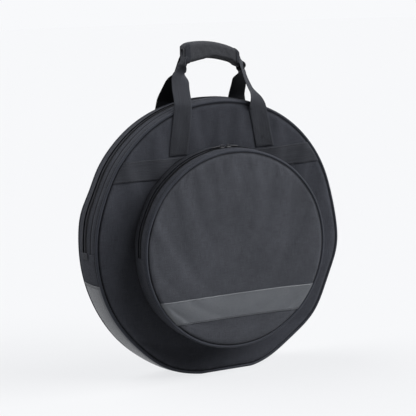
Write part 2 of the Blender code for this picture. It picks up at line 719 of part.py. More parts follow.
def pull_pin(radius):
    """Where the pull turns in its bail, in the circle's frame, for a pull that lies to -X."""
    coil_top = radius - FABRIC - SEAM_GAP - TAPE + COIL_HEIGHT
    plate_high = coil_top + SLIDER_LIFT + SLIDER_PLATE
    window = BAIL_HEIGHT - BAIL_BAR
    across = -BAIL_LENGTH / 2 + BAIL_BAR + PULL_CLEARANCE + PULL_ROOT_BAR / 2
    return Vector((across, 0, plate_high + window / 2))


def pull_curve():
    """A pull lying towards -X from the pin at its origin, with a window round its bail."""
    bail_corner = math.hypot(PULL_CLEARANCE + PULL_ROOT_BAR / 2 + BAIL_BAR,
                             (BAIL_HEIGHT + BAIL_BAR) / 2)
    root = PULL_ROOT_BAR / 2
    window_half = BAIL_WIDTH / 2 + PULL_CLEARANCE
    window_end = -bail_corner - PULL_CLEARANCE
    half = PULL_WIDTH / 2
    outer = [(root, -half), (root, half), (root - PULL_LENGTH + half, half),
             (root - PULL_LENGTH, half / 2), (root - PULL_LENGTH, -half / 2),
             (root - PULL_LENGTH + half, -half)]
    window = [(-root, -window_half), (-root, window_half), (window_end, window_half),
              (window_end, -window_half)]
    return outline_curve("pull", [outer, window], PULL_THICKNESS)


def make_sliders(name, radius, depth, height, keeps, meeting):
    """Two sliders that meet on a zip, turned clockwise from its top, their pulls lying apart."""
    mesh = slider_mesh(name + "_slider", radius, keeps)
    pull = pull_curve()
    centre = Matrix.Translation((0, depth, height))
    for side, end in ((-1, "left"), (1, "right")):
        turn = Matrix.Rotation(meeting + side * SLIDERS_APART / 2 / radius, 4, "Y")
        slider = bpy.data.objects.new(name + "_slider_" + end, mesh)
        slider.matrix_world = centre @ turn
        BAG.objects.link(slider)
        facing = Matrix.Rotation(0 if side < 0 else math.pi, 4, "Z")
        droop = Matrix.Rotation(-PULL_DROOP, 4, "Y")
        pin = Matrix.Translation(pull_pin(radius))
        piece = bpy.data.objects.new(name + "_pull_" + end, pull)
        piece.matrix_world = centre @ turn @ facing @ pin @ droop
        BAG.objects.link(piece)
        attach(piece, slider)
    mesh.materials.append(ZIP_METAL)
    pull.materials.append(ZIP_METAL)


def build():
    """Make every piece of the bag."""
    rear_flap = pivot("rear_flap_fold", (0, HALF_DEPTH, FOLD_Z))
    pocket_flap = pivot("pocket_flap_fold", (0, POCKET_FACE, POCKET_FOLD_Z))
    front_handle = pivot("front_handle_fold", (0, -WEB_FACE, ANCHOR_TOP))
    rear_handle = pivot("rear_handle_fold", (0, WEB_FACE, ANCHOR_TOP), rear_flap)
    grip_low = grip_centre(1).z - WRAP_TOP
    grip_flap = pivot("grip_flap_fold", (0, FLAP_OUTSIDE, grip_low), front_handle)
    make_front()
    make_rear("upper", top_disc, FOLD_Z + HALF_GAP, rear_flap)
    make_rear("lower", bottom_disc, FOLD_Z - HALF_GAP, None)
    make_zip_strips(rear_flap)
    make_lower_gusset()
    make_dividers()
    make_pocket(pocket_flap)
    make_bands(rear_flap)
    make_anchors("front", -1, None)
    make_anchors("rear", 1, rear_flap)
    make_handle_web("front_handle_web", -1, front_handle)
    make_handle_web("rear_handle_web", 1, rear_handle)
    along_grip("grip_wrap", wrap_section(), WRAP_NYLON, front_handle)
    along_grip("grip_flap", flap_section(), WRAP_NYLON, grip_flap)
    make_sliders("main", RADIUS, ZIP_SHIFT, CENTRE_Z, -1, MAIN_MEETING)
    make_sliders("pocket", POCKET_RADIUS, POCKET_ZIP_Y, POCKET_Z, 1, 0)


build()
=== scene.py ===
# %% [markdown]
# # A round cymbal bag
#
# This lesson dresses a padded bag that stands on its own base. The frame that it loads holds
# every part of the bag at its real size as a plain solid. Each cell below turns some of those
# solids into what they are: woven cloth over foam, webbing, zips, vinyl and thread.

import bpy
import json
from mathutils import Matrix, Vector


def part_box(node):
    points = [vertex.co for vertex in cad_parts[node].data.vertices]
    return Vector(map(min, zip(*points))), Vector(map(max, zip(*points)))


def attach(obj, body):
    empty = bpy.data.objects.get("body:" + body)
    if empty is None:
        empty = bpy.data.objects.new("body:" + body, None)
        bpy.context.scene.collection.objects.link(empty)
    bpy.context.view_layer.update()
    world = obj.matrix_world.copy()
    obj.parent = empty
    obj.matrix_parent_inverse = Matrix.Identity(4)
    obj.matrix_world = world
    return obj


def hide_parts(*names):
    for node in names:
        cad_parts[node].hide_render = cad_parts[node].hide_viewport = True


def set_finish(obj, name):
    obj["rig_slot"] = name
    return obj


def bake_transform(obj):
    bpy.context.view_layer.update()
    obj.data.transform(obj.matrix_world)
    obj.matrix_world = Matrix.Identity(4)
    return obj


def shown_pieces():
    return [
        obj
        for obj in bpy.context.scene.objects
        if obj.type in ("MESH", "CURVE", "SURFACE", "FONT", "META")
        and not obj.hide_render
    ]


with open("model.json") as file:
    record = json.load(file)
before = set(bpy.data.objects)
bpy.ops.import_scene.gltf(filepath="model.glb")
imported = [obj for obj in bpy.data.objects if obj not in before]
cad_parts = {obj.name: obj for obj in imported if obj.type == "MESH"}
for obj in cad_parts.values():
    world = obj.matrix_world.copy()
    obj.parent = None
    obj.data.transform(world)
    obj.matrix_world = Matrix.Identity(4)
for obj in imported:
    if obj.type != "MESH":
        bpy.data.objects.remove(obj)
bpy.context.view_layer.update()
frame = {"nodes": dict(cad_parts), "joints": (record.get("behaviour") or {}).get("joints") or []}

import json
import math

import bmesh
import bpy
import numpy as np
from mathutils import Matrix, Vector

# %% [markdown]
# ## Sizes
#
# The bag is two circles: the main compartment and, in front of it, the pocket. Their middles are
# where the zips' sliders turn, and the joints say where that is. The radii come from the corners
# of the gusset strips, so nothing here repeats a size that the frame already holds.

# %% Read the circles and depths
MM = 0.001
SIDES = (("left", -1), ("right", 1))
FACES = (("front", -1), ("rear", 1))
JOINTS = {joint["name"]: joint["pos_m"] for joint in frame["joints"]}


def reach(node, height):
    """The greatest distance of a node's corners from its circle's middle, across and up."""
    vertices = frame["nodes"][node].data.vertices
    places = np.empty(3 * len(vertices), np.float32)
    vertices.foreach_get("co", places)
    places = places.reshape(-1, 3)
    return float(np.hypot(places[:, 0], places[:, 2] - height).max())


def span(node, axis):
    """The lowest and highest place of a node along axis 0, 1 or 2."""
    low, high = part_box(node)
    return low[axis], high[axis]


def breadth(node, axis):
    """The highest place of a node along an axis less the lowest."""
    low, high = span(node, axis)
    return high - low


_, ZIP_Y, BAG_MIDDLE = JOINTS["main_zip_left_run"]
_, POCKET_ZIP_Y, POCKET_MIDDLE = JOINTS["pocket_zip_left_run"]
_, HALF_DEPTH, FOLD_Z = JOINTS["rear_flap_fold"]
_, POCKET_FACE, POCKET_FOLD_Z = JOINTS["pocket_flap_fold"]
BAG = (BAG_MIDDLE, reach("front_zip_strip", BAG_MIDDLE))
POCKET = (POCKET_MIDDLE, reach("pocket_zip_rear_strip", POCKET_MIDDLE))
FABRIC = breadth("front_panel", 1)
PIPING = breadth("front_piping", 1) / 2
SKIN_INSET = BAG[1] - span("front_panel", 0)[1]
CORE_INSET = BAG[1] - span("front_foam", 0)[1]
WEB_WIDTH = breadth("rear_band", 2)
WEB_THICKNESS = breadth("rear_band", 1)
print("bag", BAG, "pocket", POCKET, "fabric", FABRIC, "piping", PIPING)

# %% [markdown]
# ## Grids
#
# Every cloth piece is a surface of two parameters, worked out for a whole grid at once. Grids
# that share an edge are sewn into one closed mesh by merging the points that fall together.
# Each grid brings a chart, which is its cloth laid flat in metres, so that a weave keeps its
# real size, and a seam value that is 1 at a sewn edge and 0 out in the open cloth.

# %% Small helpers for arrays
def smooth(value, low, high):
    """Rise from 0 at low to 1 at high: three times the square less twice the cube."""
    share = np.clip((value - low) / (high - low), 0, 1)
    return share * share * (3 - 2 * share)


def bell(value, width):
    """A bell of height 1 at value 0: the exponential of minus the squared value in widths."""
    return np.exp(-(value / width) ** 2)


def unit(vectors):
    """Vectors divided by their lengths."""
    return vectors / np.linalg.norm(vectors, axis=-1, keepdims=True)


def run_along(points):
    """How far along a line each of its points lies: the sum of the steps before it."""
    return np.concatenate([[0], np.cumsum(np.linalg.norm(np.diff(points, axis=0), axis=1))])


def chart_of(first, second):
    """Two arrays, spread over one grid, as its chart."""
    return np.stack(np.broadcast_arrays(first, second), -1)


def quads_of(rows, columns):
    """Corner numbers of the quads between neighbouring points of a grid."""
    corner = np.arange(rows * columns).reshape(rows, columns)
    around = (corner[:-1, :-1], corner[1:, :-1], corner[1:, 1:], corner[:-1, 1:])
    return np.stack(around, -1).reshape(-1, 4)


print("a grid of 3 by 3 has", len(quads_of(3, 3)), "quads")


# %% From grids to meshes
WELD = MM / 1000


def shown(name, data):
    """An object for a mesh, a lamp or a camera, put in the scene."""
    piece = bpy.data.objects.new(name, data)
    bpy.context.scene.collection.objects.link(piece)
    return piece


def make_mesh(name, points, corners, chart, seam):
    """Put arrays of points, quads, charts and seam values into a mesh."""
    mesh = bpy.data.meshes.new(name)
    mesh.vertices.add(len(points))
    mesh.vertices.foreach_set("co", points.astype(np.float32).ravel())
    mesh.loops.add(corners.size)
    mesh.loops.foreach_set("vertex_index", corners.ravel())
    mesh.polygons.add(len(corners))
    mesh.polygons.foreach_set("loop_start", np.arange(0, corners.size, 4))
    mesh.update(calc_edges=True)
    layer = mesh.uv_layers.new(name="chart")
    layer.uv.foreach_set("vector", chart[corners.ravel()].astype(np.float32).ravel())
    values = mesh.attributes.new("seam", "FLOAT", "POINT")
    values.data.foreach_set("value", seam.astype(np.float32))
    return mesh


def turned_out(points, corners):
    """The quads with their faces outwards: turned round if the volume they close is negative."""
    a, b, c, d = (points[corners[:, side]] for side in range(4))
    volume = np.einsum("ij,ij->", np.cross(c - a, d - b), (a + b + c + d) / 4)
    return corners if volume > 0 else corners[:, ::-1]


def sew(name, grids):
    """Join grids of points into one object whose doubled points are merged."""
    points, corners, charts, seams, count = [], [], [], [], 0
    for places, chart, seam in grids:
        rows, columns = places.shape[:2]
        corners.append(quads_of(rows, columns) + count)
        points.append(places.reshape(-1, 3))
        charts.append(chart.reshape(-1, 2))
        seams.append(np.broadcast_to(seam, (rows, columns)).ravel())
        count += rows * columns
    points, corners, charts, seams = map(np.concatenate, (points, corners, charts, seams))
    mesh = make_mesh(name, points, turned_out(points, corners), charts, seams)
    work = bmesh.new()
    work.from_mesh(mesh)
    bmesh.ops.remove_doubles(work, verts=work.verts, dist=WELD)
    bmesh.ops.recalc_face_normals(work, faces=work.faces)
    work.to_mesh(mesh)
    work.free()
    mesh.shade_smooth()
    return shown(name, mesh)


def border_of(rows, columns):
    """Row and column numbers of a grid's outer points, once round and back to the first."""
    across = np.arange(columns - 1)
    down = np.arange(rows - 1)
    row = [0 * across, down, 0 * across + rows - 1, down[::-1] + 1, [0]]
    column = [across, 0 * down + columns - 1, across[::-1] + 1, 0 * down, [0]]
    return np.concatenate(row), np.concatenate(column)


def pad(front, back, chart, seam=0.0, roll=0.0):
    """Two matching grids and the wall that closes them; the wall bulges by roll at its middle."""
    row, column = border_of(*front.shape[:2])
    rim_line = front[row, column]
    inner_row = np.clip(row, 1, front.shape[0] - 2)
    inner_column = np.clip(column, 1, front.shape[1] - 2)
    outward = unit(rim_line - front[inner_row, inner_column])
    share = np.linspace(0, 1, 5 if roll else 2)[:, None, None]
    wall = rim_line * (1 - share) + back[row, column] * share
    wall = wall + outward * roll * np.sin(math.pi * share)
    deep = share[..., 0] * np.linalg.norm(front[0, 0] - back[0, 0])
    seam_grid = np.broadcast_to(seam, front.shape[:2])
    return [(front, chart, seam_grid), (back[:, ::-1], chart[:, ::-1], seam_grid[:, ::-1]),
            (wall, chart_of(run_along(rim_line)[None, :], deep), seam_grid[row, column][None, :])]


print("and", len(border_of(3, 3)[0]) - 1, "rim points")

# %% [markdown]
# ## Round outlines
#
# Both compartments have a round outline, and the ground cuts the bag's own flat. A panel is a
# square grid bent into that outline, which has no pole in its middle where cloth would pinch.

# %% Outline and disc
LEAST_FALL = 0.001


def rim(angle, inset, circle):
    """Across and up on an outline, by the angle from its top: a circle, cut flat by the ground."""
    middle, radius = circle
    fall = np.maximum(-np.cos(angle), LEAST_FALL)
    length = np.minimum(radius - inset, (middle - inset) / fall)
    return length * np.sin(angle), middle + length * np.cos(angle)


def disc(circle, inset, cells):
    """Across, up and distance share of a square grid bent into an outline.

    A point (u, v) of the square goes to u times the root of 1 - v*v/2, and v times the root of
    1 - u*u/2, which fills the unit disc. The outline's reach at that angle then stretches it.
    """
    line = np.linspace(-1, 1, cells + 1)
    u, v = np.meshgrid(line, line)
    a = u * np.sqrt(1 - v * v / 2)
    b = v * np.sqrt(1 - u * u / 2)
    edge_across, edge_up = rim(np.arctan2(a, b), inset, circle)
    reach_there = np.hypot(edge_across, edge_up - circle[0])
    return a * reach_there, circle[0] + b * reach_there, np.hypot(a, b)


def square_of(a, b):
    """The square coordinates of a unit disc's points: the disc formula turned round."""
    def part(near, far):
        base = 2 + near * near - far * far
        swing = 2 * math.sqrt(2) * near
        return (np.sqrt(np.maximum(base + swing, 0)) - np.sqrt(np.maximum(base - swing, 0))) / 2
    return part(a, b), part(b, a)


print("outline at the bottom", rim(np.array([math.pi]), 0, BAG))

# %% [markdown]
# ## Panels blown by a cloth simulation
#
# A padded panel is a round of cloth cut a little larger than its seam, with foam pushing it out.
# That could be drawn as a dome, but real cloth puckers where the seam holds it. So a flat cloth
# is pinned at its edge, blown up for twenty frames, and read back as a height over the flat
# panel. Everything that is sewn to the panel then follows the same heights.

# %% Cloth trial
TRIAL_CELLS = 64
TRIAL_FRAMES = 20
SEAM_FADE = 0.985


def blown_heights(circle, facing, pressure, excess, gravity):
    """Heights of a cloth disc that is pinned at its seam and blown towards facing."""
    across, up, _ = disc(circle, SKIN_INSET, TRIAL_CELLS)
    flat = np.stack([across, 0 * across, up], -1)
    side = TRIAL_CELLS + 1
    mesh = make_mesh("trial", flat.reshape(-1, 3), quads_of(side, side)[:, ::facing],
                     flat[..., ::2].reshape(-1, 2), np.zeros(side * side))
    piece = shown("trial", mesh)
    row, column = border_of(side, side)
    seam = piece.vertex_groups.new(name="seam")
    seam.add((row * side + column).tolist(), 1.0, "REPLACE")
    cloth = piece.modifiers.new("Cloth", "CLOTH").settings
    cloth.vertex_group_mass = "seam"
    cloth.quality = 5
    cloth.mass = 0.1
    cloth.tension_stiffness = cloth.compression_stiffness = 15
    cloth.shear_stiffness = 5
    cloth.bending_stiffness = 0.4
    cloth.use_pressure = True
    cloth.uniform_pressure_force = pressure
    cloth.shrink_min = -excess
    cloth.effector_weights.gravity = gravity
    for number in range(1, TRIAL_FRAMES + 1):
        bpy.context.scene.frame_set(number)
    settled_trial = piece.evaluated_get(bpy.context.evaluated_depsgraph_get())
    places = np.empty(3 * side * side, np.float32)
    settled_trial.to_mesh().vertices.foreach_get("co", places)
    settled_trial.to_mesh_clear()
    bpy.data.objects.remove(piece)
    bpy.context.scene.frame_set(1)
    return facing * places.reshape(side, side, 3)[..., 1].astype(float)


def panel_heights(circle, facing, height, cap, **trial):
    """A panel's heights: a plateau, 1 less the fifth power of the distance, and the cloth trial's
    puckers, held within a cap by a hyperbolic tangent.
    """
    plateau = height * (1 - disc(circle, SKIN_INSET, TRIAL_CELLS)[2] ** 5)
    blown = np.maximum(blown_heights(circle, facing, **trial), 0)
    return plateau + cap * np.tanh(blown / cap)


FRONT_HEIGHTS = panel_heights(BAG, -1, 2.0 * MM, 4.5 * MM, pressure=0.08, excess=0.012, gravity=0.25)
REAR_HEIGHTS = panel_heights(BAG, 1, 2.0 * MM, 5.0 * MM, pressure=0.08, excess=0.014, gravity=0.30)
POCKET_HEIGHTS = panel_heights(POCKET, -1, 1.5 * MM, 4.0 * MM, pressure=0.10, excess=0.008, gravity=0.15)
print("heights in mm", [round(float(h.max()) / MM, 1)
                        for h in (FRONT_HEIGHTS, REAR_HEIGHTS, POCKET_HEIGHTS)])


# %% Read the heights between their grid's points
def spline_weights(part):
    """The four weights of a cubic spline at a share of the way between two grid points."""
    rest = 1 - part
    return (rest ** 3 / 6, (3 * part ** 3 - 6 * part ** 2 + 4) / 6,
            (3 * rest ** 3 - 6 * rest ** 2 + 4) / 6, part ** 3 / 6)


def height_at(heights, circle, across, up):
    """Heights at any places: a cubic spline over the square grid that the disc came from."""
    angle = np.arctan2(across, up - circle[0])
    edge_across, edge_up = rim(angle, SKIN_INSET, circle)
    out = np.hypot(across, up - circle[0]) / np.hypot(edge_across, edge_up - circle[0])
    out = np.minimum(out, 1)
    places = [(np.clip(part, -1, 1) + 1) / 2 * TRIAL_CELLS
              for part in square_of(out * np.sin(angle), out * np.cos(angle))]
    column, row = (np.minimum(place.astype(int), TRIAL_CELLS - 1) for place in places)
    total = 0
    for step_u, weight_u in enumerate(spline_weights(places[0] - column), -1):
        for step_v, weight_v in enumerate(spline_weights(places[1] - row), -1):
            at = (np.clip(row + step_v, 0, TRIAL_CELLS), np.clip(column + step_u, 0, TRIAL_CELLS))
            total = total + weight_u * weight_v * heights[at]
    return total * (1 - smooth(out, SEAM_FADE, 1.0))


middle_height = height_at(FRONT_HEIGHTS, BAG, np.array([0.0]), np.array([BAG[0]]))
print("height at the bag's middle, mm", round(float(middle_height[0]) / MM, 2))

# %% [markdown]
# ## How the bag settles
#
# An empty padded bag isn't a true circle. Its rims wander out and in by a few millimetres, and
# its bottom spreads on the ground. If each piece had its own wobble, seams would gape, so one
# displacement is worked out for any point in space and every piece is put through it.

# %% Rim lobes and the settling of a point
# Each lobe is its angle from the top and its width, in degrees, and its height in millimetres.
FRONT_LOBES = [(38, 20, 6.0), (76, 7, -2.5), (99, 7, 7.0), (130, 8, 8.5), (161, 9, 7.0),
               (206, 10, 7.0), (243, 12, 2.0), (292, 9, -3.0), (335, 12, 2.0)]
REAR_LOBES = [(15, 12, 3.0), (62, 14, 4.0), (104, 9, 6.0), (140, 10, 7.0), (203, 9, 6.5),
              (222, 12, 4.5), (284, 6, 2.5), (294, 6, -5.0), (329, 12, 2.0)]
FACE_LOBES = [(90, 38, 9.0), (270, 34, 2.0), (0, 34, -4.0), (180, 30, 2.0)]
FOOT_LOBES = [(90, 30, 2.0), (270, 38, -5.0)]
RIM_SHARE = 0.70
FADE_ABOVE = 0.09
STACK_BACK = abs(span("front_lining", 1)[1])
POCKET_STACK_BACK = abs(span("pocket_pad_upper", 1)[1])
STACK_FADE = 12 * MM
CROWN = 2.5 * MM
FACE_PRESS = 0.75
LEVEL = 0.1
POCKET_INSIDE = (0.6, 1.0)
POCKET_OUTSIDE = (1.02, 1.25)


def lobes_at(angle, lobes):
    """Sum of bells round the rim, each the exponential of minus half the squared distance."""
    total = 0
    for middle, width, height in lobes:
        away = (angle - math.radians(middle) + math.pi) % (2 * math.pi) - math.pi
        total = total + height * MM * np.exp(-0.5 * (away / math.radians(width)) ** 2)
    return total


def settled(points):
    """Where points of the flat pattern lie on the filled and slightly slumped bag.

    The panels' heights push the front and rear stacks outwards, the pocket's face gets its own,
    and near the rim each point moves along its radius by the lobes of the nearer rim and by a
    crown between the rims, a parabola in the depth, but never further than the ground lets it.
    The pocket gives way to the panel behind it, and its foot and its face have their own lobes.
    """
    x, y, z = points[..., 0], points[..., 1], points[..., 2]
    front = smooth(-y, STACK_BACK - STACK_FADE, STACK_BACK)
    rear = smooth(y, STACK_BACK - STACK_FADE, STACK_BACK)
    face = smooth(-y, POCKET_STACK_BACK - STACK_FADE, POCKET_STACK_BACK)
    forward = smooth(-y, HALF_DEPTH, abs(POCKET_FACE))
    deeper = y - front * height_at(FRONT_HEIGHTS, BAG, x, z) * (1 - FACE_PRESS * forward)
    deeper = deeper + rear * height_at(REAR_HEIGHTS, BAG, x, z)
    deeper = deeper - face * height_at(POCKET_HEIGHTS, POCKET, x, z)
    angle = np.arctan2(x, z - BAG[0])
    out = np.hypot(x, z - BAG[0])
    share = np.clip((y + HALF_DEPTH) / (2 * HALF_DEPTH), 0, 1)
    move = (1 - share) * lobes_at(angle, FRONT_LOBES) + share * lobes_at(angle, REAR_LOBES)
    move = move + CROWN * (1 - (2 * share - 1) ** 2)
    rim_up = rim(angle, 0, BAG)[1]
    room = np.where(np.cos(angle) < -LEVEL, rim_up / np.maximum(-np.cos(angle), LEVEL), 1)
    near = smooth(out, RIM_SHARE * BAG[1], BAG[1]) * (1 - smooth(out, BAG[1], BAG[1] + FADE_ABOVE))
    move = np.minimum(move, room) * near
    turn = np.arctan2(x, z - POCKET[0])
    outness = np.hypot(x, z - POCKET[0]) / POCKET[1]
    slip = forward * lobes_at(turn, FACE_LOBES) + (1 - forward) * lobes_at(turn, FOOT_LOBES)
    slip = slip * front * smooth(outness, *POCKET_INSIDE) * (1 - smooth(outness, *POCKET_OUTSIDE))
    return np.stack([x + move * np.sin(angle) + slip * np.sin(turn), deeper,
                     z + move * np.cos(angle) + slip * np.cos(turn)], -1)


print("the top of the front rim moves to", settled(np.array([[0, -HALF_DEPTH, sum(BAG)]])).round(4))

# %% [markdown]
# ## Round panels
#
# Skin, foam and lining are cut from the same round. Beside the piping the skin is drawn inwards
# by the seam, which is what makes the piping stand proud. Each piece goes into one dictionary
# under the name of the node that it stands for, which is how the later cells find it.

# %% Panels
PANEL_CELLS = 120
TUCK = 1.5 * MM
TUCK_WIDTH = 5.0 * MM
PANEL_SEAM = 8 * MM
made = {}


def round_piece(name, circle, inset, layer, tucks, roll=0.0):
    """A round sheet as deep as a layer, settled; tucks draw its faces inwards at the edge."""
    across, up, share = disc(circle, inset, PANEL_CELLS)
    from_edge = (1 - share) * (circle[1] - inset)
    faces = [settled(np.stack([across, depth + tuck * bell(from_edge, TUCK_WIDTH), up], -1))
             for depth, tuck in zip(span(layer, 1), tucks)]
    return sew(name, pad(*faces, chart_of(across, up), np.exp(-from_edge / PANEL_SEAM), roll))


for side, half, sign in (("front", "", 1), ("rear", "_upper", -1)):
    for part, inset, tucks in (("panel", SKIN_INSET, (TUCK, TUCK)), ("foam", CORE_INSET, (TUCK, 0)),
                               ("lining", CORE_INSET, (0, 0))):
        node = side + "_" + part
        drawn = [sign * tuck for tuck in tucks][::sign]
        made[node] = round_piece(node + "_cloth", BAG, inset, node + half, drawn)
made["pocket_face"] = round_piece("pocket_face_cloth", POCKET, SKIN_INSET, "pocket_face_upper",
                                  (TUCK, TUCK))
made["pocket_pad"] = round_piece("pocket_face_padding", POCKET, CORE_INSET, "pocket_pad_upper",
                                 (TUCK, 0), 1 * MM)
print("panel has", len(made["pocket_face"].data.polygons), "faces")

# %% [markdown]
# ## Piping
#
# Piping is a cord in a folded strip of coated cloth, sewn in between two panels. A profile
# carried along the rim would do as a plain tube, but the thread pulls it in at each stitch, so
# its radius dips a little with every stitch along the way.

# %% Tubes and piping
STITCH_PITCH = 3.4 * MM
PIPE_SIDES = 14
PIPE_STEPS = 720
STITCH_DIP = 0.03


def tube(path, radius, outward, sides, closed=False):
    """A round section carried along a path, as one grid, with its ends drawn to a point.

    Each ring lies in the plane of outward and of the cross product of the path's direction with
    outward; its points are the path's point plus radius times the cosine and sine of an angle.
    """
    ahead = np.gradient(path, axis=0)
    if closed:
        ahead[0] = ahead[-1] = path[1] - path[-2]
    ahead = unit(ahead)
    first = unit(outward - ahead * np.einsum("ij,ij->i", outward, ahead)[:, None])
    second = np.cross(ahead, first)
    turn = np.linspace(0, 2 * math.pi, sides + 1)[None, :, None]
    size = np.broadcast_to(radius, len(path))[:, None, None]
    rings = path[:, None] + size * (np.cos(turn) * first[:, None] + np.sin(turn) * second[:, None])
    run = run_along(path)
    if not closed:
        rings = np.concatenate([0 * rings[:1] + path[0], rings, 0 * rings[:1] + path[-1]])
        run = np.concatenate([run[:1], run, run[-1:]])
    around = turn[0, :, 0] * float(np.mean(radius))
    return rings, chart_of(around[None, :], run[:, None]), 0.0


def spokes(angle):
    """Unit vectors out from a circle's middle."""
    return np.stack([np.sin(angle), 0 * angle, np.cos(angle)], -1)


def piping_piece(name, circle, depth):
    """A closed ring of piping whose radius is 1 plus a small cosine that counts the stitches."""
    angle = np.linspace(0, 2 * math.pi, PIPE_STEPS + 1)
    across, up = rim(angle, PIPING, circle)
    path = settled(np.stack([across, 0 * across + depth, up], -1))
    dip = STITCH_DIP * np.cos(angle * round(2 * math.pi * circle[1] / (2 * STITCH_PITCH)))
    return sew(name, [tube(path, PIPING * (1 + dip), spokes(angle), PIPE_SIDES, True)])


for part, circle, depth in (("front", BAG, PIPING - HALF_DEPTH), ("rear", BAG, HALF_DEPTH - PIPING),
                            ("pocket", POCKET, POCKET_FACE + PIPING)):
    made[part + "_piping"] = piping_piece(part + "_rim_cord", circle, depth)
print("rim cord has", len(made["front_piping"].data.polygons), "faces")

# %% [markdown]
# ## Gussets and zip strips
#
# The gusset is the cloth between the two rims. Above the fold it's two strips with the zip in
# between, and each strip has a hem, folded under and topstitched beside the teeth. Below, it's
# nylon at the sides and vinyl under the bag. All of them are one formula: a point of the outline
# at some angle, set in by an amount that changes over the strip's width.

# %% Strip maker
HEM = 6.0 * MM
HEM_RISE = 0.7 * MM
PUCKER = 0.35 * MM
PUCKER_LENGTH = 9.5 * MM
PUCKER_DRIFT = 31 * MM
PUCKER_SWAY = 1.3
PUCKER_FADE = 5 * MM
STRIP_SEAM = 6 * MM
ANGLE_STEP = math.radians(0.75)
GROOVE_DEPTH = 1.1 * MM
GROOVE_WIDTH = 3.6 * MM
# Which edges of a strip are sewn and drawn in, and which are folded to a hem and stand up.
EDGES = {"front": ((TUCK, 0), (0, HEM_RISE)), "rear": ((0, TUCK), (HEM_RISE, 0)),
         "both": ((TUCK, TUCK), (0, 0)), "none": ((0, 0), (0, 0))}


def strip_piece(name, circle, ends, node, sewn="none", thick=FABRIC, inset=0.0, end_hems=0,
                columns=16, roll=0.0, groove=None):
    """A strip of the gusset between two angles, as deep as a node, from inset and so thick.

    Its outer face goes in by a tuck at a sewn edge, a bell in the distance from it, and out by
    the rise of a hem near a folded edge. Puckers run across a sewn edge: a sine of the arc,
    fading with the distance. A groove, which is a narrow bell at a distance from the far edge, is
    where a second length is sewn on. The inner face is the outer one set in by the thickness.
    """
    near, far = span(node, 1)
    rows = max(3, int(abs(ends[1] - ends[0]) / ANGLE_STEP) + 1)
    angle = np.linspace(*ends, rows)[:, None]
    depth = np.linspace(near, far, columns)[None, :]
    arc = angle * circle[1]
    outer = inset + 0 * angle + 0 * depth
    seam = 0 * outer
    wave = np.sin(2 * math.pi * arc / PUCKER_LENGTH + PUCKER_SWAY * np.sin(arc / PUCKER_DRIFT))
    for away, tuck, hem in zip((depth - near, far - depth), *EDGES[sewn]):
        outer = outer + tuck * bell(away, TUCK_WIDTH)
        outer = outer - hem * (1 - smooth(away, HEM - MM, HEM + MM))
        outer = outer - (tuck > 0) * PUCKER * wave * np.exp(-away / PUCKER_FADE)
        seam = np.maximum(seam, np.exp(-away / STRIP_SEAM))
    if groove:
        crease = bell(far - depth - groove, GROOVE_WIDTH) + 0 * outer
        outer = outer + GROOVE_DEPTH * crease
        seam = np.maximum(seam, crease)
    along = np.minimum(arc - arc.min(), arc.max() - arc)
    outer = outer - end_hems * (1 - smooth(along, HEM, HEM + 2 * MM))
    faces = []
    for sink in (0, thick):
        across, up = rim(angle + 0 * depth, outer + sink, circle)
        faces.append(settled(np.stack([across, depth + 0 * across, up], -1)))
    return sew(name, pad(*faces, chart_of(arc, depth), seam, roll))


print("edges", sorted(EDGES))


# %% Strips of both gussets
def angle_at(height, circle):
    """The angle from the top at which a circle is this high."""
    return math.acos((height - circle[0]) / circle[1])


def over(angle):
    """The ends of a strip that runs over the top."""
    return -angle, angle


def below(angle, gap=0.0):
    """The ends of a strip that runs round the bottom."""
    return angle + gap, 2 * math.pi - angle - gap


FOLD_ANGLE = angle_at(FOLD_Z, BAG)
POCKET_FOLD_ANGLE = angle_at(POCKET_FOLD_Z, POCKET)
VINYL_ANGLE = angle_at(span("base_gusset", 2)[1], BAG)
ANGLE_GAP = 0.15 * MM / BAG[1]
END_HEM = 0.6 * MM
for node, name, circle, ends, sewn, more in (
        ("front_zip_strip", "front_zip_strip_cloth", BAG, over(FOLD_ANGLE), "front",
         {"columns": 40, "groove": 15.5 * MM}),
        ("rear_zip_strip", "rear_zip_strip_cloth", BAG, over(FOLD_ANGLE), "rear", {}),
        ("side_gusset_left", "side_gusset_cloth_left", BAG,
         (-VINYL_ANGLE, -FOLD_ANGLE - ANGLE_GAP), "both", {"columns": 32}),
        ("side_gusset_right", "side_gusset_cloth_right", BAG,
         (FOLD_ANGLE + ANGLE_GAP, VINYL_ANGLE), "both", {"columns": 32}),
        ("base_gusset", "base_vinyl", BAG, below(VINYL_ANGLE, ANGLE_GAP), "both",
         {"end_hems": END_HEM, "columns": 32}),
        ("gusset_foam", "gusset_padding", BAG, below(FOLD_ANGLE), "none",
         {"thick": 6.0 * MM, "inset": 1.5 * MM, "columns": 12, "roll": 0.6 * MM}),
        ("gusset_lining", "gusset_lining_cloth", BAG, below(FOLD_ANGLE), "none",
         {"thick": 0.8 * MM, "inset": 7.8 * MM, "columns": 12}),
        ("pocket_zip_rear_strip", "pocket_rear_strip_cloth", POCKET, over(POCKET_FOLD_ANGLE),
         "rear", {}),
        ("pocket_zip_front_strip", "pocket_front_strip_cloth", POCKET, over(POCKET_FOLD_ANGLE),
         "front", {}),
        ("pocket_lower_gusset", "pocket_gusset_cloth", POCKET, below(POCKET_FOLD_ANGLE, ANGLE_GAP),
         "both", {"columns": 28})):
    made[node] = strip_piece(name, circle, ends, node, sewn, **more)
print("vinyl from", round(math.degrees(VINYL_ANGLE), 1), "fold at", round(math.degrees(FOLD_ANGLE), 1))

# %% [markdown]
# ## Zips
#
# A coil zip is a tape with a nylon coil sewn along its edge, and the two coils' heads slip
# between each other. The coil is a helix squashed into an oval. Its partner is the same helix
# half a turn later, so that the heads interlock all the way round.

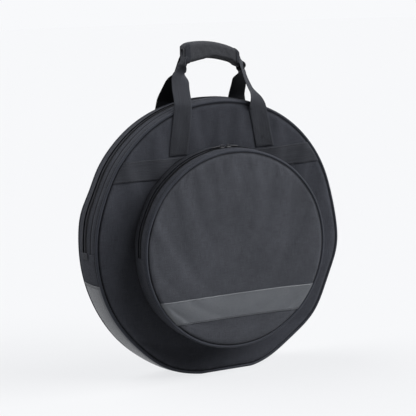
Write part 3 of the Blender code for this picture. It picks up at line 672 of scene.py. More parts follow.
# %% Tapes and coils
TAPE_INSET = 1.5 * MM
TAPE = 0.8 * MM
COIL_PITCH = 1.35 * MM
COIL_HALF_WIDTH = 1.9 * MM
COIL_OVERLAP = 0.4 * MM
COIL_HALF_HEIGHT = 0.80 * MM
COIL_WIRE = 0.34 * MM
COIL_INSET = 0.95 * MM
COIL_SHORT = 0.004
POINTS_PER_TURN = 10


def coil_grid(circle, parting, side, reach_angle):
    """A flattened helix that runs round a zip beside its parting line, on one side of it.

    The angle grows evenly; the helix's phase adds its sine to the radius and its cosine to the
    depth, and the other side starts half a turn later.
    """
    turns = int(2 * reach_angle * circle[1] / COIL_PITCH)
    share = np.linspace(0, 1, turns * POINTS_PER_TURN)
    angle = reach_angle * (2 * share - 1)
    phase = 2 * math.pi * turns * share + (math.pi if side > 0 else 0)
    across, up = rim(angle, COIL_INSET - COIL_HALF_HEIGHT * np.sin(phase), circle)
    depth = parting + side * (COIL_HALF_WIDTH - COIL_OVERLAP - COIL_HALF_WIDTH * np.cos(phase))
    return tube(settled(np.stack([across, depth, up], -1)), COIL_WIRE, spokes(angle), 4)


for name, circle, parting, fold_angle in (("main_zip", BAG, ZIP_Y, FOLD_ANGLE),
                                          ("pocket_zip", POCKET, POCKET_ZIP_Y, POCKET_FOLD_ANGLE)):
    for side, sign in FACES:
        node = "%s_%s_half" % (name, side)
        coil = "%s_%s_coil" % (name, side)
        made[node] = strip_piece("%s_%s_tape" % (name, side), circle, over(fold_angle), node,
                                 thick=TAPE, inset=TAPE_INSET, columns=6)
        made[coil] = sew(coil, [coil_grid(circle, parting, sign, fold_angle - COIL_SHORT)])
print("coil faces", len(made["main_zip_front_coil"].data.polygons))

# %% [markdown]
# ## Flat pieces on the panels
#
# The webbing bands, the vinyl across the pocket and the dividers are cut straight along one way
# and follow an outline along the other. Each is a grid whose rows are level chords: the ends of
# a row are worked out from its height.

# %% Chord pieces
CHORD_ROWS = 14
CHORD_SEAM = 4 * MM
POCKET_GAP = 0.3 * MM


def half_chord(height, circle, inset):
    """Half the width of an outline at a height.

    It's the root of the squared radius less the squared height over the circle's middle.
    """
    radius = circle[1] - inset
    return np.sqrt(np.maximum(radius ** 2 - (height - circle[0]) ** 2, 0))


def drawn_in(across, up, circle):
    """How far a panel's skin is drawn in at a place: the same bell that the panels use."""
    from_edge = np.maximum(circle[1] - SKIN_INSET - np.hypot(across, up - circle[0]), 0)
    return TUCK * bell(from_edge, TUCK_WIDTH)


def chord_piece(name, node, heights, facing, ends, circle=BAG, edge=0.4 * MM, columns=120):
    """A flat piece between two heights whose rows run between two ends, lying on a panel.

    An end is a sign and the outline and inset whose half chord it multiplies.
    """
    low, high = heights
    up = np.linspace(low, high, CHORD_ROWS)[:, None]
    left, right = (sign * half_chord(up, *outline) for sign, *outline in ends)
    across = left + (right - left) * np.linspace(0, 1, columns)[None, :]
    up = up + 0 * across
    sink = -facing * drawn_in(across, up, circle)
    faces = [settled(np.stack([across, depth + sink, up], -1)) for depth in span(node, 1)]
    seam = np.exp(-np.minimum(up - low, high - up) / CHORD_SEAM)
    return sew(name, pad(*faces, chart_of(up, across), seam, edge))


BAND, STRIP = span("rear_band", 2), span("pocket_vinyl_strip", 2)
RIM_LEFT, RIM_RIGHT = ((sign, BAG, CORE_INSET) for _, sign in SIDES)
FACE_LEFT, FACE_RIGHT = ((sign, POCKET, CORE_INSET) for _, sign in SIDES)
POCKET_LEFT, POCKET_RIGHT = ((sign, POCKET, -POCKET_GAP) for _, sign in SIDES)
for node, name, heights, facing, ends, more in (
        ("front_band_left", "front_band_web_left", BAND, -1, (RIM_LEFT, POCKET_LEFT),
         {"columns": 60}),
        ("front_band_right", "front_band_web_right", BAND, -1, (POCKET_RIGHT, RIM_RIGHT),
         {"columns": 60}),
        ("rear_band", "rear_band_web", BAND, 1, (RIM_LEFT, RIM_RIGHT), {}),
        ("pocket_vinyl_strip", "pocket_vinyl_band", STRIP, -1, (FACE_LEFT, FACE_RIGHT),
         {"circle": POCKET, "edge": 0.7 * MM})):
    made[node] = chord_piece(name, node, heights, facing, ends, **more)
print("band", BAND, "strip", STRIP)


# %% Dividers with bound tops
DIVIDER_LEAN = 1.2 * MM
DIVIDER_WAVES = (0.09, 0.13)
BINDING_RADIUS = 2.6 * MM


def divider(name, node):
    """A soft sheet with a straight, bound top that leans in and out as a sine of both ways."""
    low, high = span(node, 2)
    up = (low + (high - low) * (1 - np.cos(np.linspace(0, math.pi, 70))) / 2)[:, None]
    across = half_chord(up, BAG, BAG[1] - span(node, 0)[1]) * np.linspace(-1, 1, 90)[None, :]
    up = up + 0 * across
    wave = np.sin(across / DIVIDER_WAVES[0] + up / DIVIDER_WAVES[1])
    lean = DIVIDER_LEAN * wave * smooth(up, low, low + 0.1)
    faces = [np.stack([across, depth + lean, up], -1) for depth in span(node, 1)]
    top = np.stack([across[-1], (faces[0][-1, :, 1] + faces[1][-1, :, 1]) / 2, up[-1]], -1)
    binding = tube(top, BINDING_RADIUS, np.tile([0.0, 0, 1], (len(top), 1)), 10)
    return (sew(name, pad(*faces, chart_of(across, up), 0.0, 0.8 * MM)),
            sew(name + "_binding", [binding]))


for side, _ in FACES:
    made["divider_" + side], made["divider_binding_" + side] = divider("divider_cloth_" + side,
                                                                       "divider_" + side)
print("dividers", made["divider_front"].name, made["divider_rear"].name)

# %% [markdown]
# ## Handles
#
# Each handle is one length of webbing, sewn flat on a panel at both ends and loose above the
# rim. A web that comes up to a grip from the side turns: at the rim it faces forwards, and where
# it meets the grip it faces outwards, like the ends of a bucket's handle. On the way it's folded
# in half along its middle. The fold is made in the section: the angle of the cloth turns by up to
# half a circle over a few millimetres at the middle of the web, and summing its cosine and sine
# across the width gives the folded shape. The turn rotates that section about the path.

# %% Handle path
WEB_FACE = JOINTS["rear_handle_fold"][1]
WEB_OFFSET = WEB_FACE - WEB_THICKNESS / 2
RIM_Z = JOINTS["rear_handle_fold"][2]
ANCHOR_LOW = span("front_anchor_left", 2)[0]
GRIP_MIDDLE = sum(span("grip_wrap", 0)) / 2
GRIP_HALF = breadth("grip_wrap", 0) / 2
GRIP_Z = sum(BAG) + 112.4 * MM
GRIP_TILT = 8.1 * MM
GRIP_ARCH = 12.7 * MM
GRIP_WEB_DEPTH = 2.65 * MM
GRIP_ENTRY = 0.75
LEG_RISE_SHARE = 0.77
FOLD_BEND = 2.4 * MM
LEAN_EARLY, LEAN_LATE = 0.8, 0.2
# For each leg: how far out it stands and swings, where it's folded, its turn, and where it turns.
LEGS = {(-1, -1): (33.0 * MM, 22.0 * MM, (0.28, 0.56), math.radians(-88), (0.34, 0.60)),
        (-1, 1): (21.0 * MM, 30.0 * MM, (0.60, 0.78), math.radians(-53), (-0.02, 0.17)),
        (1, -1): (13.0 * MM, 9.0 * MM, (0.20, 0.50), math.radians(-28), (0, 0.22)),
        (1, 1): (31.0 * MM, 33.0 * MM, (0.28, 0.60), math.radians(-28), (0, 0.60))}
# The front web is crushed to half its width where it enters the grip on the right.
CRUSHED_AT, CRUSHED_OVER, CRUSH = 0.69, 0.10, 0.55


def grip_line(share):
    """Across and up on the grip's middle line, from -1 at its left end to 1 at its right."""
    return GRIP_MIDDLE + share * GRIP_HALF, GRIP_Z - GRIP_TILT * share - GRIP_ARCH * share ** 2


def anchor_line(facing, side):
    """The middle of a sewn-down end, from its foot to the rim."""
    node = ("front" if facing < 0 else "rear") + "_anchor_" + ("left" if side < 0 else "right")
    low, high = span(node, 0)
    ends = (low + WEB_WIDTH / 2, high - WEB_WIDTH / 2)[::-side]
    foot = np.array([[ends[0], facing * WEB_OFFSET, ANCHOR_LOW]])
    head = np.array([[ends[1], facing * WEB_OFFSET, RIM_Z]])
    return foot + (head - foot) * np.linspace(0, 1, 26)[:, None]


def lean_in(share):
    """How far in a leg has leant: four fifths early, as 1 less an exponential, the rest late."""
    part = np.maximum(share - 0.075, 0) / 0.925
    early = 1 - np.exp(-(part / 0.18) ** 1.35)
    return LEAN_EARLY * early + LEAN_LATE * smooth(share, 0.45, 0.88)


def leg_line(facing, side):
    """A leg's middle, a cubic curve of four guides up from the rim and in to the grip.

    With it come its fold and its twist, both smooth steps. Inside the grip the twist goes back.
    """
    stand_out, swing_out, folding, full_twist, turning = LEGS[facing, side]
    foot = anchor_line(facing, side)[-1]
    across, up = grip_line(side * GRIP_ENTRY)
    top = np.array([across, facing * GRIP_WEB_DEPTH, up])
    stand = np.array([top[0] + side * stand_out, 0, foot[2] + (top[2] - foot[2]) * LEG_RISE_SHARE])
    guides = (foot, stand, top + np.array([side * swing_out, 0, 0]), top)
    share = np.linspace(0, 1, 61)[1:, None]
    rest = 1 - share
    weights = (rest ** 3, 3 * rest ** 2 * share, 3 * rest * share ** 2, share ** 3)
    line = sum(guide * weight for guide, weight in zip(guides, weights))
    share = share[:, 0]
    line[:, 1] = foot[1] + (top[1] - foot[1]) * lean_in(share)
    twist = full_twist * smooth(share, *turning) * (1 - smooth(share, 0.66, 0.95))
    return line, smooth(share, *folding), twist


def handle_line(facing):
    """The whole web's middle, fold, twist and width, from one foot over the grip to the other."""
    left, left_fold, twist = leg_line(facing, -1)
    right, right_fold, right_twist = leg_line(facing, 1)
    across, up = grip_line(np.linspace(-GRIP_ENTRY, GRIP_ENTRY, 31))
    grip = np.stack([across, 0 * across + facing * GRIP_WEB_DEPTH, up], -1)
    feet = [anchor_line(facing, side) for _, side in SIDES]
    flat, straight = np.zeros(len(feet[0])), np.zeros(len(grip))
    share = np.linspace(0, 1, len(right) + 1)[1:]
    crush = CRUSH * (facing < 0) * bell(share - CRUSHED_AT, CRUSHED_OVER)
    widths = 1 - np.concatenate([flat, 0 * left_fold, straight, crush[::-1], flat])
    folds = np.concatenate([flat, left_fold, straight + 1, right_fold[::-1], flat])
    twists = np.concatenate([flat, twist, straight, right_twist[::-1], flat])
    line = np.concatenate([feet[0], left, grip, right[::-1], feet[1][::-1]])
    return line, folds, twists, widths, len(flat)


print("handle path of", len(handle_line(-1)[0]), "points")

# %% Fold the web and loft it
WEB_COLUMNS = 36
WEB_SEAM = 1.5 * MM
WEB_ROLL = 0.3 * MM


def summed(steps):
    """The running sum along each row, from 0."""
    return np.concatenate([0 * steps[:, :1], np.cumsum(steps, axis=1)], axis=1)


def midway(rows):
    """Half the sum of each row's greatest and least value."""
    return (rows.max(1, keepdims=True) + rows.min(1, keepdims=True)) / 2


def strap(name, facing):
    """A web with a thin oval section, carried along the handle's line, folded and twisted."""
    line, folds, twists, widths, flat = handle_line(facing)
    folds, twists, widths = folds[:, None], twists[:, None], widths[:, None]
    ahead = np.gradient(line, axis=0)
    across = unit(np.stack([ahead[:, 2], 0 * ahead[:, 0], -ahead[:, 0]], -1))
    across[:flat] = (1, 0, 0)
    across[-flat:] = (-1, 0, 0)
    depth = np.array([0, 1.0, 0])
    inwards = -facing * (depth * np.cos(twists) - across * np.sin(twists))
    across = across * np.cos(twists) + depth * np.sin(twists)
    place = np.linspace(-0.5, 0.5, WEB_COLUMNS)[None, :] * WEB_WIDTH
    turn = folds * math.pi * smooth(place, -FOLD_BEND, FOLD_BEND)
    step = np.diff(place, axis=1)
    middle_turn = (turn[:, 1:] + turn[:, :-1]) / 2
    aside = summed(np.cos(middle_turn) * step)
    aside = (aside - midway(aside)) * widths
    inward = summed(np.sin(middle_turn) * step) * widths
    inward -= midway(inward) * smooth(folds, 0.85, 1)
    half = WEB_THICKNESS / 2 * (1 - 0.5 * np.abs(2 * place / WEB_WIDTH) ** 12)
    grids = []
    for sign in (-1, 1):
        side = aside - sign * half * np.sin(turn)
        deep = inward + sign * half * np.cos(turn)
        grids.append(settled(line[:, None] + across[:, None] * side[..., None]
                             + inwards[:, None] * deep[..., None]))
    seam = np.exp(-(WEB_WIDTH / 2 - np.abs(place)) / WEB_SEAM) + 0 * turn
    return sew(name, pad(*grids, chart_of(place, run_along(line)[:, None]), seam, WEB_ROLL))


for side, facing in FACES:
    made[side + "_handle_web"] = strap(side + "_handle_strap", facing)
print("strap faces", len(made["front_handle_web"].data.polygons))

# %% [markdown]
# ## The grip
#
# The wrap is a padded strip of nylon closed round both webs, with a flap that fastens behind.
# In section it's a bracket, open to the rear: straight at top and bottom, rounded in front. A
# hand has bent it, so its underside is deep at both ends and creased up near the middle, and its
# top rounds off at the ends. Two short tables say how high and how deep it is along its length.

# %% Wrap section and its run along the grip
WRAP_FRONT, WRAP_REAR = span("grip_wrap", 1)
WRAP_HALF = GRIP_Z - GRIP_TILT - GRIP_ARCH - span("grip_wrap", 2)[0]
WRAP_ROUND = 9.5 * MM
HOLLOW_HALF = 11.4 * MM
HOLLOW_ROUND = 3.0 * MM
HALVES_BLEND = 6 * MM
SWELL = 1.2 * MM
WAVINESS = 0.22 * MM
# Places along the grip, from -1 to 1, and the height or depth there in millimetres.
WRAP_UP = ((-1, 15.5), (-0.97, 18.6), (-0.87, 21.5), (-0.72, 22.0), (-0.36, 20.6), (0.14, 19.6),
           (0.56, 19.0), (0.78, 18.2), (0.96, 17.0), (1, 14.5))
WRAP_DOWN = ((-1, 24.0), (-0.9, 23.4), (-0.61, 23.2), (-0.28, 20.3), (0.07, 14.0), (0.38, 16.0),
             (0.71, 15.4), (0.82, 17.9), (0.89, 21.5), (1, 21.5))


def bracket(rear, front, half, radius, count):
    """Depth and height round an open bracket: a line, a quarter circle, a line, and back."""
    turn = np.linspace(0, math.pi / 2, 12)
    corner = np.stack([front + radius * (1 - np.sin(turn)), half - radius * (1 - np.cos(turn))], -1)
    upper = np.concatenate([[[rear, half]], corner])
    whole = np.concatenate([upper, upper[::-1] * (1, -1)])
    run = run_along(whole)
    steps = np.linspace(0, run[-1], count)
    return np.interp(steps, run, whole[:, 0]), np.interp(steps, run, whole[:, 1])


def carried(section, shares, grow=0.0):
    """A section carried along the grip's line, with its upper and lower halves scaled apart.

    The tables' heights, run through straight lines and smoothed, scale the outer face. The
    hollow, with grow at 0, keeps its size. A little waviness is a product of sine and cosine.
    """
    depth, height = section
    share = shares[:, None]
    across, up = grip_line(share)
    fine = np.linspace(-1.1, 1.1, 221)
    scale = []
    for table in (WRAP_UP, WRAP_DOWN):
        level = np.interp(fine, *zip(*table)) * MM / WRAP_HALF
        level = np.convolve(np.pad(level, 3, "edge"), np.ones(7) / 7, "valid")
        scale.append(1 + grow * (np.interp(share, fine, level) - 1))
    rise = smooth(height[None, :], -HALVES_BLEND, HALVES_BLEND)
    tall = height[None, :] * (scale[1] + (scale[0] - scale[1]) * rise)
    swell = SWELL * np.sqrt(np.maximum(1 - share ** 8, 0)) * grow
    wave = WAVINESS * grow * np.sin(share * 17 + height * 260) * np.cos(share * 9 - depth * 300)
    deep = depth[None, :] + (depth / abs(WRAP_FRONT))[None, :] * (swell + wave)
    return np.stack([across + 0 * deep, deep, up + tall], -1)


print("half height of the wrap", WRAP_HALF)

# %% Wrap, bindings and flap
WRAP_POINTS = 64
BINDING_POINTS = 48
WRAP_GIRTH = 0.078
BINDING_OUT = 0.9 * MM
BINDING_IN = -0.6 * MM
FLAP_BEVEL = 1.2 * MM
WRAP_ROLL = 1.6 * MM
FLAP_ROLL = 1.2 * MM


def wrap_section(points, out=0.0):
    """The wrap's outer bracket, moved out by so much."""
    return bracket(WRAP_REAR, WRAP_FRONT - out, WRAP_HALF + out, WRAP_ROUND, points)


def grip_chart(around, shares):
    """A chart whose first value goes round the grip and whose second goes along it."""
    return chart_of(around[None, :], (shares * GRIP_HALF)[:, None])


shares = np.linspace(-1, 1, 90)
outer = carried(wrap_section(WRAP_POINTS), shares, 1)
inner = carried(bracket(WRAP_REAR, -WRAP_REAR, HOLLOW_HALF, HOLLOW_ROUND, WRAP_POINTS), shares)
seam = np.exp(-(1 - np.abs(shares)) / 0.05)[:, None] + 0 * outer[..., 0]
chart = grip_chart(np.linspace(0, WRAP_GIRTH, WRAP_POINTS), shares)
made["grip_wrap"] = sew("grip_wrap_padding", pad(outer, inner, chart, seam, WRAP_ROLL))
for start, end, name in ((-1.0, -0.80, "left"), (0.88, 1.0, "right")):
    ends = np.linspace(start, end, 12)
    cloth = [carried(wrap_section(BINDING_POINTS, out), ends, 1) for out in (BINDING_OUT, BINDING_IN)]
    chart = grip_chart(np.linspace(0, WRAP_GIRTH, BINDING_POINTS), ends)
    made["grip_binding_" + name] = sew("grip_binding_" + name, pad(*cloth, chart, 0.0, 0.5 * MM))
flap_low, flap_high = span("grip_flap", 1)
height = np.linspace(-WRAP_HALF, WRAP_HALF, 24)
near = carried((0 * height + flap_low, height), shares)
far = carried((flap_high - FLAP_BEVEL * (height / WRAP_HALF) ** 4, height), shares, 1)
seam = np.exp(-(WRAP_HALF - np.abs(height)) / (3 * MM))[None, :] + 0 * near[..., 0]
made["grip_flap"] = sew("grip_flap_padding", pad(near, far, grip_chart(height, shares), seam, FLAP_ROLL))

# %% [markdown]
# ## Sliders and pulls
#
# Each slider is a small casting: a plate with turned-down flanges over the coils, a plate under
# the tape, a post between, and an arched bail that holds the pull. They are rounded blocks: a
# sphere's formula whose sines and cosines are raised to a power below one, which squares it up.

# %% Rounded blocks, bail and pull
SLIDERS_APART = 16 * MM
PULL_DROOP = math.radians(5)


def powered(value, power):
    """A sine or cosine raised to a power, keeping its sign."""
    return np.sign(value) * np.abs(value) ** power


def block(middle, half, power=0.45, taper=0.0):
    """A rounded block: a sphere's sines and cosines powered; taper narrows its low end.

    This and the next two shapes take their sizes in millimetres.
    """
    lift = np.linspace(-math.pi / 2, math.pi / 2, 11)[:, None]
    turn = np.linspace(0, 2 * math.pi, 29)[None, :]
    x = powered(np.cos(lift), power) * powered(np.cos(turn), power)
    y = powered(np.cos(lift), power) * powered(np.sin(turn), power)
    z = powered(np.sin(lift), power) + 0 * turn
    y = y * (1 - taper * (1 - x) / 2)
    places = np.stack([place * MM + size * MM * line
                       for place, size, line in zip(middle, half, (x, y, z))], -1)
    return places, np.stack([x, y], -1) * 0.01, 0.0


def bail_grid(base, half_long, high):
    """The bail: half a squared-up oval over the plate, carried as a flattened tube."""
    turn = np.linspace(0, math.pi, 26)
    path = MM * np.stack([half_long * powered(np.cos(turn), 0.6), 0 * turn,
                          base + high * powered(np.sin(turn), 0.6)], -1)
    rings, chart, seam = tube(path, 0.62 * MM, np.tile([0.0, 1, 0], (len(path), 1)), 10)
    return rings * (1, 1.9, 1), chart, seam


def ring_grid(outer_half, outer_middle, inner_half, inner_middle, half_thick):
    """A flat tab with a window: a closed profile between two squared-up ovals."""
    turn = np.linspace(0, 2 * math.pi, 49)[:, None]
    def oval(half, middle, power):
        return MM * np.stack([middle + half[0] * powered(np.cos(turn), power),
                              half[1] * powered(np.sin(turn), power)], -1)
    near = oval(inner_half, inner_middle, 0.5)
    far = oval(outer_half, outer_middle, 0.62)
    bevel = np.minimum(0.35 * MM / np.linalg.norm(far - near, axis=-1), 0.3)
    zero = 0 * bevel
    share = np.concatenate([zero, bevel, 1 - bevel, 1 + zero, 1 + zero, 1 - bevel, bevel, zero, zero], 1)
    level = np.array([0.4, 1, 1, 0.4, -0.4, -1, -1, -0.4, 0.4])[None, :] * half_thick * MM
    flat = near + (far - near) * share[..., None]
    return np.concatenate([flat, (level + 0 * share)[..., None]], -1), flat, 0.0


def slider_grids(keeps):
    """The blocks of one slider, in a frame whose height is measured from the coil's top."""
    return [block((0, 0, 1.45), (7.0, 4.5, 0.75), 0.4, 0.25),
            block((-0.6, 4.0, 0.45), (5.0, 0.5, 1.1)),
            block((-0.6, -4.0, 0.45), (5.0, 0.5, 1.1)),
            block((0, 0, -1.2), (2.6, 0.45, 2.6)),
            block((0, keeps * 2.0, -3.7), (6.6, 2.6, 0.6), 0.4),
            bail_grid(2.05, 3.6, 5.3)]


def pull_grids():
    """A pull: a tab with a window for the bail, and a thicker end."""
    return [ring_grid((12.5, 3.3), -11.6, (2.1, 1.85), -2.95, 0.75),
            block((-15.5, 0, 0), (6.0, 1.9, 1.15), 0.55)]


def placed(grids, matrix):
    """Grids with their points taken through a matrix."""
    turn = np.array(matrix.to_3x3())
    shift = np.array(matrix.translation)
    return [(places @ turn.T + shift, chart, seam) for places, chart, seam in grids]


def make_sliders(name, circle, depth, keeps, meeting):
    """Two sliders that meet on a zip, turned clockwise by meeting from its top, and their pulls."""
    away = np.array([math.sin(meeting), 0, math.cos(meeting)])
    spot = np.array([0, depth, circle[0]]) + away * circle[1]
    shift = settled(spot[None, :])[0] - spot
    lift = float(shift @ away)
    centre = Matrix.Translation((0, depth + float(shift[1]), circle[0]))
    for end, side in SIDES:
        turn = Matrix.Rotation(meeting + side * SLIDERS_APART / 2 / circle[1], 4, "Y")
        high = Matrix.Translation((0, 0, circle[1] + lift))
        facing = Matrix.Rotation(0 if side < 0 else math.pi, 4, "Z")
        body, pull = "%s_slider_%s" % (name, end), "%s_pull_%s" % (name, end)
        blocks = placed(slider_grids(keeps * -side), centre @ turn @ high @ facing)
        made[body] = sew(body + "_casting", blocks)
        pin = Matrix.Translation(Vector(JOINTS[pull + "_swing"]) + Vector(away * lift))
        droop = Matrix.Rotation(-PULL_DROOP, 4, "Y")
        made[pull] = sew(pull + "_tab", placed(pull_grids(), pin @ turn @ facing @ droop))


make_sliders("main", BAG, ZIP_Y, -1, math.radians(55))
make_sliders("pocket", POCKET, POCKET_ZIP_Y, 1, 0)
for name, side in SIDES:
    node = "zip_end_tab_" + name
    angles = sorted(side * angle_at(height, BAG) for height in span(node, 2))
    made[node] = strip_piece("zip_end_web_" + name, BAG, angles, node, thick=1.0 * MM,
                             inset=-1.3 * MM, columns=14, roll=0.3 * MM)
print("slider faces", len(made["main_slider_left"].data.polygons))

# %% [markdown]
# ## Thread
#
# Topstitching is what tells cloth from a painted line, so every stitch is a short arched bar of
# its own. They're placed at even steps along a line on the cloth, and a bar is four small
# squares of points: low and thin at its ends, higher and thicker in the middle.

# %% Stitches along lines
THREAD = 0.36 * MM
STITCH = 2.5 * MM
STITCH_ALONG = np.array([-0.5, -0.3, 0.3, 0.5]) * STITCH
STITCH_LIFT = np.array([-0.6, 0.55, 0.55, -0.6]) * THREAD
STITCH_SIZE = np.array([0.5, 1.0, 1.0, 0.5]) * THREAD


def between(place, run, points):
    """Points at places along a line, by straight steps between the line's own points."""
    return np.stack([np.interp(place, run, points[:, axis]) for axis in range(3)], -1)


def stitches(name, lines):
    """Stitches along lines of points with outward directions, as one piece.

    A bar's corners are its ring's middle plus the cosine and sine of four angles, along the
    directions aside and outwards.
    """
    middles, aheads, outs = [], [], []
    for points, outward in lines:
        run = run_along(points)
        count = max(1, int(run[-1] / STITCH_PITCH))
        place = (np.arange(count) + 0.5) * run[-1] / count
        middles.append(between(place, run, points))
        aheads.append(between(place + STITCH / 2, run, points) - between(place - STITCH / 2, run, points))
        outs.append(between(place, run, outward))
    middle, ahead, out = map(np.concatenate, (middles, aheads, outs))
    ahead = unit(ahead)
    out = unit(out - ahead * np.einsum("ij,ij->i", ahead, out)[:, None])
    aside = np.cross(ahead, out)
    turn = np.radians([45, 135, 225, 315])
    ring = middle[:, None] + ahead[:, None] * STITCH_ALONG[:, None] + out[:, None] * STITCH_LIFT[:, None]
    places = (ring[:, :, None] + aside[:, None, None] * (STITCH_SIZE[:, None] * np.cos(turn))[..., None]
              + out[:, None, None] * (STITCH_SIZE[:, None] * np.sin(turn))[..., None])
    step = 4 * np.arange(3)[:, None] + np.arange(4)
    after = 4 * np.arange(3)[:, None] + (np.arange(4) + 1) % 4
    walls = np.stack([step, after, after + 4, step + 4], -1).reshape(-1, 4)
    one = np.concatenate([walls, [[3, 2, 1, 0], [12, 13, 14, 15]]])
    corners = (16 * np.arange(len(middle))[:, None, None] + one).reshape(-1, 4)
    flat = places.reshape(-1, 3)
    chart = np.stack(np.meshgrid(np.linspace(0, 1, 4), STITCH_ALONG), -1).reshape(-1, 2)
    mesh = make_mesh(name, flat, turned_out(flat, corners), np.tile(chart, (len(middle), 1)),
                     np.zeros(len(flat)))
    mesh.shade_smooth()
    made[name] = shown(name, mesh)


print("a bar is", STITCH / MM, "mm long")


# %% Lines for the thread
HEM_STITCH = 2.6 * MM
BAND_STITCH = 3 * MM
WEB_TOP = WEB_FACE + 0.05 * MM
BOX_INSET = 4 * MM


def round_line(circle, angle, depth, inset):
    """A line along a gusset, by its angles, with directions out from the circle's middle."""
    across, up = rim(angle, inset, circle)
    return settled(np.stack([across, depth + 0 * angle, up], -1)), spokes(angle)


def hem_line(circle, node, edge):
    """The line of thread beside a strip's hem, at its low edge, 0, or its high edge, 1."""
    reach_angle, count = (FOLD_ANGLE, 700) if circle is BAG else (POCKET_FOLD_ANGLE, 600)
    angle = np.linspace(-reach_angle + 0.01, reach_angle - 0.01, count)
    return round_line(circle, angle, span(node, 1)[edge] + (1 - 2 * edge) * HEM_STITCH, -HEM_RISE)


def panel_line(ends, depth, facing, steps=20, circle=None):
    """A straight line on a panel between two places given as across and up."""
    low, high = (np.array([end]) for end in ends)
    flat = low + (high - low) * np.linspace(0, 1, steps)[:, None]
    sink = -facing * drawn_in(flat[:, 0], flat[:, 1], circle) if circle else 0 * flat[:, 0]
    points = settled(np.stack([flat[:, 0], depth + sink, flat[:, 1]], -1))
    return points, np.tile([0.0, facing, 0], (steps, 1))


def foot_box(facing, side):
    """A stitched box with its diagonals at a handle's foot, leaning as the web does."""
    foot, head = anchor_line(facing, side)[[0, -1]]
    half = WEB_WIDTH / 2 - BOX_INSET
    low = BOX_INSET / (head[2] - foot[2])
    high = low + (2 * half) / (head[2] - foot[2])
    a, b, c, d = ((at[0] + shift, at[2])
                  for at, shifts in ((foot + (head - foot) * low, (-half, half)),
                                     (foot + (head - foot) * high, (half, -half)))
                  for shift in shifts)
    return [panel_line(ends, facing * WEB_TOP, facing)
            for ends in ((a, b), (b, c), (c, d), (d, a), (a, c), (b, d))]


def panel_thread(facing, inner):
    """The boxes at both feet of a handle, and two rows along the band from inner to the rim."""
    lines = [line for _, side in SIDES for line in foot_box(facing, side)]
    for height in (BAND[0] + BAND_STITCH, BAND[1] - BAND_STITCH):
        edge = float(half_chord(height, BAG, CORE_INSET)) - 2 * MM
        for _, side in SIDES:
            ends = ((side * inner(height), height), (side * edge, height))
            lines.append(panel_line(ends, facing * WEB_TOP, facing, 90, BAG))
    return lines


def vinyl_line(side, back):
    """A line across the vinyl, so far behind its sewn end."""
    angle = np.full(30, side * (VINYL_ANGLE + back / BAG[1]))
    return round_line(BAG, angle, np.linspace(*span("base_gusset", 1), 32)[1:-1], -END_HEM)


def strip_line(height):
    """A line along the vinyl across the pocket."""
    edge = float(half_chord(height, POCKET, CORE_INSET)) - 1.5 * MM
    depth = span("pocket_vinyl_strip", 1)[0] - 0.03 * MM
    return panel_line(((-edge, height), (edge, height)), depth, -1, 220, POCKET)


stitches("front_strip_stitching", [hem_line(BAG, "front_zip_strip", 1)])
stitches("rear_strip_stitching", [hem_line(BAG, "rear_zip_strip", 0)])
stitches("pocket_front_stitching", [hem_line(POCKET, "pocket_zip_front_strip", 1)])
stitches("pocket_rear_stitching", [hem_line(POCKET, "pocket_zip_rear_strip", 0)])
stitches("front_panel_stitching",
         panel_thread(-1, lambda height: float(half_chord(height, POCKET, -2 * MM))))
stitches("rear_panel_stitching", panel_thread(1, lambda height: MM))
stitches("base_vinyl_stitching",
         [vinyl_line(side, back) for _, side in SIDES for back in (2.5 * MM, 6.0 * MM)])
stitches("pocket_vinyl_stitching", [strip_line(STRIP[0] + HEM_STITCH), strip_line(STRIP[1] - HEM_STITCH)])
print("pieces", len(made))

# %% [markdown]
# ## What rides on what
#
# Cloth that crosses a fold is one piece, baked in place on no body. Everything else rides on one body.

# %% Hang each piece on its body
BEND_LOW = 3 * MM
BEND_HIGH = 48 * MM
HANDLE_BEND_LOW = 10 * MM
HANDLE_BEND_HIGH = 18 * MM


def bend(low_body, high_body, depth, height, low, high):
    """A fold across which cloth bends: the body below it, the one above, and where it bends."""
    return low_body, high_body, (0, depth, height - low), (0, depth, height + high)


REAR_BEND = bend("shell", "rear_flap", HALF_DEPTH, FOLD_Z, BEND_LOW, BEND_HIGH)
POCKET_BEND = bend("shell", "pocket_flap", POCKET_FACE, POCKET_FOLD_Z, BEND_LOW, BEND_HIGH)
FRONT_HANDLE_BEND = bend("shell", "front_handle", -WEB_FACE, RIM_Z, HANDLE_BEND_LOW, HANDLE_BEND_HIGH)
REAR_HANDLE_BEND = bend("rear_flap", "rear_handle", WEB_FACE, RIM_Z, HANDLE_BEND_LOW, HANDLE_BEND_HIGH)


def dressed(piece, slot, place, *nodes):
    """Let a piece stand for nodes, take a slot's finish, and ride on a body, or have its place baked in
    where it crosses a fold.
    """
    if nodes:
        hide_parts(*nodes)
    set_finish(piece, slot)
    if isinstance(place, str):
        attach(piece, place)
    else:
        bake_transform(piece)


